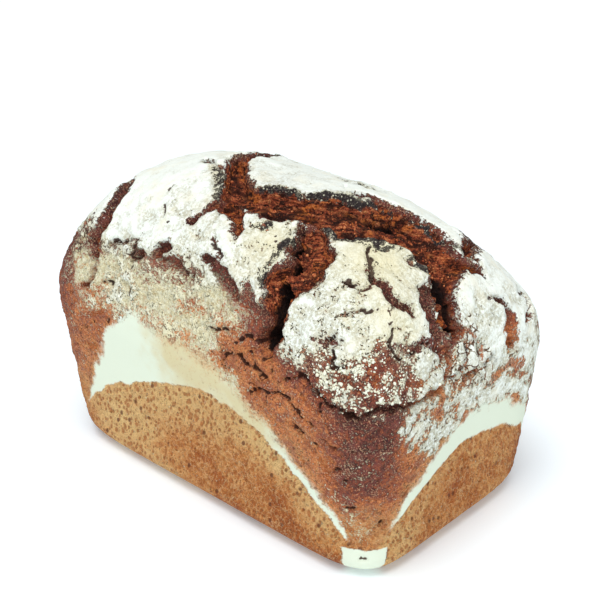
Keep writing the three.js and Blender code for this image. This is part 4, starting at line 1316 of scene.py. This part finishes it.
def crust_material():
    graph = Graph("floured_rye_crust")
    dot = graph.noise(DOT_SIZE)
    grain = graph.noise(GRAIN_SIZE, 3.0)
    blotch = graph.noise(BLOTCH_SIZE, 3.0)
    dust, tin = graph.field("dust"), graph.field("tin")
    tan, pore = tin_skin_colour(graph, dot, blotch)
    colour = graph.mix(tin, bare_crust_colour(graph, dot, grain, blotch), tan)
    burnt = graph.spread(graph.field("burnt"), (grain, 0.5))
    colour = graph.mix(graph.step(burnt, 0.34, 0.62), colour, scorched_colour(graph, dot))

    # The thin film and the dusting, which hairline cracks and creases break up, with painted shade in
    # those cracks and creases.
    gap = graph.spread(graph.field("gap"), (grain, 0.45), (dot, 0.3))
    dusted = graph.step(gap, 0.42, 0.58, 1.0, 0.0)
    film = graph.spread(graph.field("film"), (grain, 0.45), (dot, 0.5))
    film = graph.times(graph.step(film, 0.22, 0.66, 0.0, 0.96), graph.step(gap, 0.42, 0.58, 1.0, 0.6))
    colour = graph.mix(film, colour, graph.ramp(graph.noise(1.8, 4.0, 0.75), FILM_STOPS))
    thin = graph.step(graph.spread(dust, (blotch, 0.15)), 0.10, 0.85, 0.0, 0.32)
    colour = graph.mix(graph.times(thin, dusted), colour, FILM)
    crackled = graph.step(graph.spread(graph.field("crackle"), (blotch, 0.4)), 0.3, 0.6)
    hairline = graph.times(graph.cracks(**HAIRLINES), graph.times(crackled, dusted))
    cover = graph.minus(graph.spread(dust, (dot, 0.40), (grain, 0.46)), hairline)
    clump = graph.times(graph.step(cover, 0.42, 0.58), dusted)
    # Painted shade in the hairline cracks.
    colour = graph.mix(graph.times(hairline, 0.85), colour, CRACK_PAINTED_SHADE)
    # Painted shade along the creases of closed tears.
    crease = graph.spread(graph.field("crease"), (grain, 0.6), (dot, 0.3))
    colour = graph.tint(colour, CRACK_PAINTED_SHADE, crease, 0.8, 1.2, 0.5)
    colour = graph.mix(clump, colour, flour_colour(graph, dust, cover, blotch))
    band = graph.step(graph.spread(graph.field("band"), (grain, 0.25), (dot, 0.2)), 0.15, 0.85)
    colour = graph.mix(band, colour, band_colour(graph, blotch))

    # Torn crumb, and painted shade in the cracks.
    torn = graph.step(graph.spread(graph.field("open"), (grain, 0.25)), 0.20, 0.42)
    colour = graph.mix(torn, colour, crumb_colour(graph, dot))
    # Painted shade in the narrow cracks.
    crack = graph.spread(graph.field("crack"), (dot, 0.18))
    colour = graph.tint(colour, CRACK_PAINTED_SHADE, crack, 0.34, 0.60, 0.92)

    # Fine relief: clumped flour stands proud, and crumb and bare crust are rough.
    covered = graph.larger(clump, band)
    smooth = graph.larger(band, graph.times(film, 0.5))
    crumbly = graph.times(graph.plus(dot, grain), graph.minus(1.0, smooth))
    crumbly = graph.times(crumbly, graph.step(dust, 0.9, 1.2, 1.0, 0.4))
    flour_normal = graph.bump(graph.plus(covered, crumbly), 0.9, 0.9)
    rough_share = graph.larger(torn, graph.minus(1.0, covered))
    rough = graph.times(rough_share, graph.minus(graph.plus(graph.noise(1.1, 3.0), grain), 1.0))
    pores = graph.times(graph.times(pore, tin), graph.step(covered, 0.0, 1.0, 0.4, 0.0))
    normal = graph.bump(graph.minus(rough, pores), 1.8, 0.9, flour_normal)
    roughness = graph.step(covered, 0.0, 1.0, BARE_ROUGHNESS, FLOUR_ROUGHNESS)
    return graph.finish(colour, roughness, CRUST_SPECULAR, {"Normal": normal})


def grain_material(name, stops, size):
    graph = Graph(name)
    normal = graph.bump(graph.noise(0.3), 0.15, 0.6)
    colour = graph.ramp(graph.noise(size), stops)
    return graph.finish(colour, FLOUR_ROUGHNESS, GRAIN_SPECULAR, {"Normal": normal})


def floor_material():
    glow = {"Emission Color": WHITE, "Emission Strength": FLOOR_GLOW}
    return Graph("pale_floor").finish(FLOOR_COLOUR, FLOOR_ROUGHNESS, FLOOR_SPECULAR, glow)


# ---- Pieces --------------------------------------------------------------------------------


def new_mesh_object(name, points, faces, material):
    """A smooth-shaded mesh object from points in millimetres and lists of face corners."""
    mesh = bpy.data.meshes.new(name)
    mesh.from_pydata((points * MM).tolist(), [], faces)
    mesh.materials.append(material)
    mesh.shade_smooth()
    return link_object(name, mesh)


def link_object(name, data):
    thing = bpy.data.objects.new(name, data)
    bpy.context.scene.collection.objects.link(thing)
    return thing


def grain_shape():
    """Corners and faces of a small ball with twenty sides."""
    ball = bmesh.new()
    bmesh.ops.create_icosphere(ball, subdivisions=1, radius=1)
    ball.verts.ensure_lookup_table()
    corners = np.array([corner.co for corner in ball.verts])
    faces = np.array([[corner.index for corner in face.verts] for face in ball.faces])
    ball.free()
    return corners, faces


def scatter(name, grains, weight, quads, surface, normals, material):
    """Uneven grains half sunk in the crust, joined in one mesh, more of them where weight is high."""
    random = np.random.default_rng(grains["seed"])
    count = grains["count"]
    quad_weight = np.clip(weight[quads].mean(1), 0, None)
    chosen = quads[random.choice(len(quads), count, p=quad_weight / quad_weight.sum())]
    u, v = random.random((2, count, 1))
    share = np.concatenate([(1 - u) * (1 - v), u * (1 - v), u * v, (1 - u) * v], 1)[:, :, None]
    places = (surface[chosen] * share).sum(1)
    outward = normals[chosen[:, 0]]
    radius = grains["radius"] * np.exp(random.normal(0, grains["spread"], count))
    radius = np.clip(radius, 0, grains["largest"])

    corners, faces = grain_shape()
    turned, _ = np.linalg.qr(random.normal(size=(count, 3, 3)))
    turned *= np.linalg.det(turned)[:, None, None]
    shape = corners * random.uniform(*CORNER_UNEVENNESS, (count, len(corners), 1))
    shape = shape * random.uniform(*AXIS_UNEVENNESS, (count, 1, 3))
    blobs = np.einsum("nij,nkj->nki", turned, shape) * radius[:, None, None]
    points = blobs + (places + grains["lift"] * radius[:, None] * outward)[:, None]
    all_faces = faces[None] + len(corners) * np.arange(count)[:, None, None]
    piece = new_mesh_object(name, points.reshape(-1, 3), all_faces.reshape(-1, 3).tolist(), material)
    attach(piece, "root")


def make_crust(form, points, fields):
    faces = form.quads.tolist() + form.triangles.tolist()
    piece = new_mesh_object("crust", points, faces, crust_material())
    for name, values in fields.items():
        attribute = piece.data.attributes.new(name, "FLOAT", "POINT")
        attribute.data.foreach_set("value", values.astype(np.float32))
    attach(piece, "root")
    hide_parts("loaf")


def make_grains(form, points, fields):
    """Grains of flour beside the dusting, and of crumb in the tears."""
    normals = form.normals(points)
    dust, spread = FLOUR_GRAIN_DUST
    thin_dust = np.exp(-((fields["dust"] - dust) / spread) ** 2)
    weight = thin_dust * (1 - fields["gap"]) + FEW_GRAINS
    weight *= smoothstep(form.points[:, 2], *FLOUR_GRAIN_HEIGHT)
    weight *= (1 - fields["open"]) * (1 - 0.95 * fields["film"]) * spot_sum(form.points, GRAINY_SPOTS)
    material = grain_material("flour_grain", FLOUR_GRAIN_STOPS, 3.0)
    scatter("flour_grains", FLOUR_GRAINS, weight, form.quads, points, normals, material)
    weight = smoothstep(fields["open"], 0.3, 0.8) * (1 - fields["pit"])
    material = grain_material("crumb_grain", CRUMB_STOPS, 1.6)
    scatter("crumb_grains", CRUMB_GRAINS, weight, form.quads, points, normals, material)


def make_loaf():
    form = LoafMesh()
    normals = form.normals(form.points)
    height, fields = loaf_fields(form.points, normals)
    points = form.points + height[:, None] * normals
    make_crust(form, points, fields)
    make_grains(form, points, fields)


# ---- Studio --------------------------------------------------------------------------------


def make_floor():
    corners = FLOOR_HALF * np.array([(-1, -1, 0), (1, -1, 0), (1, 1, 0), (-1, 1, 0)], float)
    floor = new_mesh_object("floor", corners, [(0, 1, 2, 3)], floor_material())


def direction(azimuth, elevation):
    """Unit vector from the loaf towards a place at that azimuth and elevation."""
    flat = math.cos(elevation)
    return np.array([math.sin(azimuth) * flat, -math.cos(azimuth) * flat, math.sin(elevation)])


def look_along(thing, back, roll=0.0):
    """Turns a camera or light so that it looks against `back`."""
    right = np.cross((0, 0, 1), back)
    right /= np.linalg.norm(right)
    up = np.cross(back, right)
    turned_right = right * math.cos(roll) + up * math.sin(roll)
    turned_up = up * math.cos(roll) - right * math.sin(roll)
    matrix = np.eye(4)
    matrix[:3, :3] = np.stack([turned_right, turned_up, back], 1)
    matrix[:3, 3] = thing.location
    thing.matrix_world = Matrix(matrix.tolist())


def make_camera():
    data = bpy.data.cameras.new("camera")
    data.lens = CAMERA_LENS
    data.sensor_width = CAMERA_SENSOR
    camera = link_object("camera", data)
    back = direction(CAMERA_AZIMUTH, CAMERA_ELEVATION)
    camera.location = (np.array(CAMERA_TARGET) + CAMERA_DISTANCE * back) * MM
    look_along(camera, back, CAMERA_ROLL)
    bpy.context.scene.camera = camera


def make_light(name, azimuth, elevation, softness, strength):
    """A distant soft light, given as in LIGHTS."""
    data = bpy.data.lights.new(name, "SUN")
    data.angle = math.radians(softness)
    data.energy = strength
    light = link_object(name, data)
    look_along(light, direction(math.radians(azimuth), math.radians(elevation)))


def make_sky():
    world = bpy.data.worlds.new("studio")
    world.use_nodes = True
    background = world.node_tree.nodes["Background"]
    background.inputs["Color"].default_value = WHITE
    background.inputs["Strength"].default_value = SKY_STRENGTH
    bpy.context.scene.world = world


def make_studio():
    make_floor()
    make_camera()
    for name, values in LIGHTS.items():
        make_light(name, *values)
    make_sky()
    bpy.context.scene.view_settings.view_transform = "Standard"


# ---- Making --------------------------------------------------------------------------------

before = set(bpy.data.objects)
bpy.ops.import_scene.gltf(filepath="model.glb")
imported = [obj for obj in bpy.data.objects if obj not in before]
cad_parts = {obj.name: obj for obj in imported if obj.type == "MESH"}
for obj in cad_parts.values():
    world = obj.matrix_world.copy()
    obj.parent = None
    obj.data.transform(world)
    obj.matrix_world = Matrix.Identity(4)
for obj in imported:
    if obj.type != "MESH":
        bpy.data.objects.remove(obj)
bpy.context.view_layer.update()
make_loaf()
make_studio()
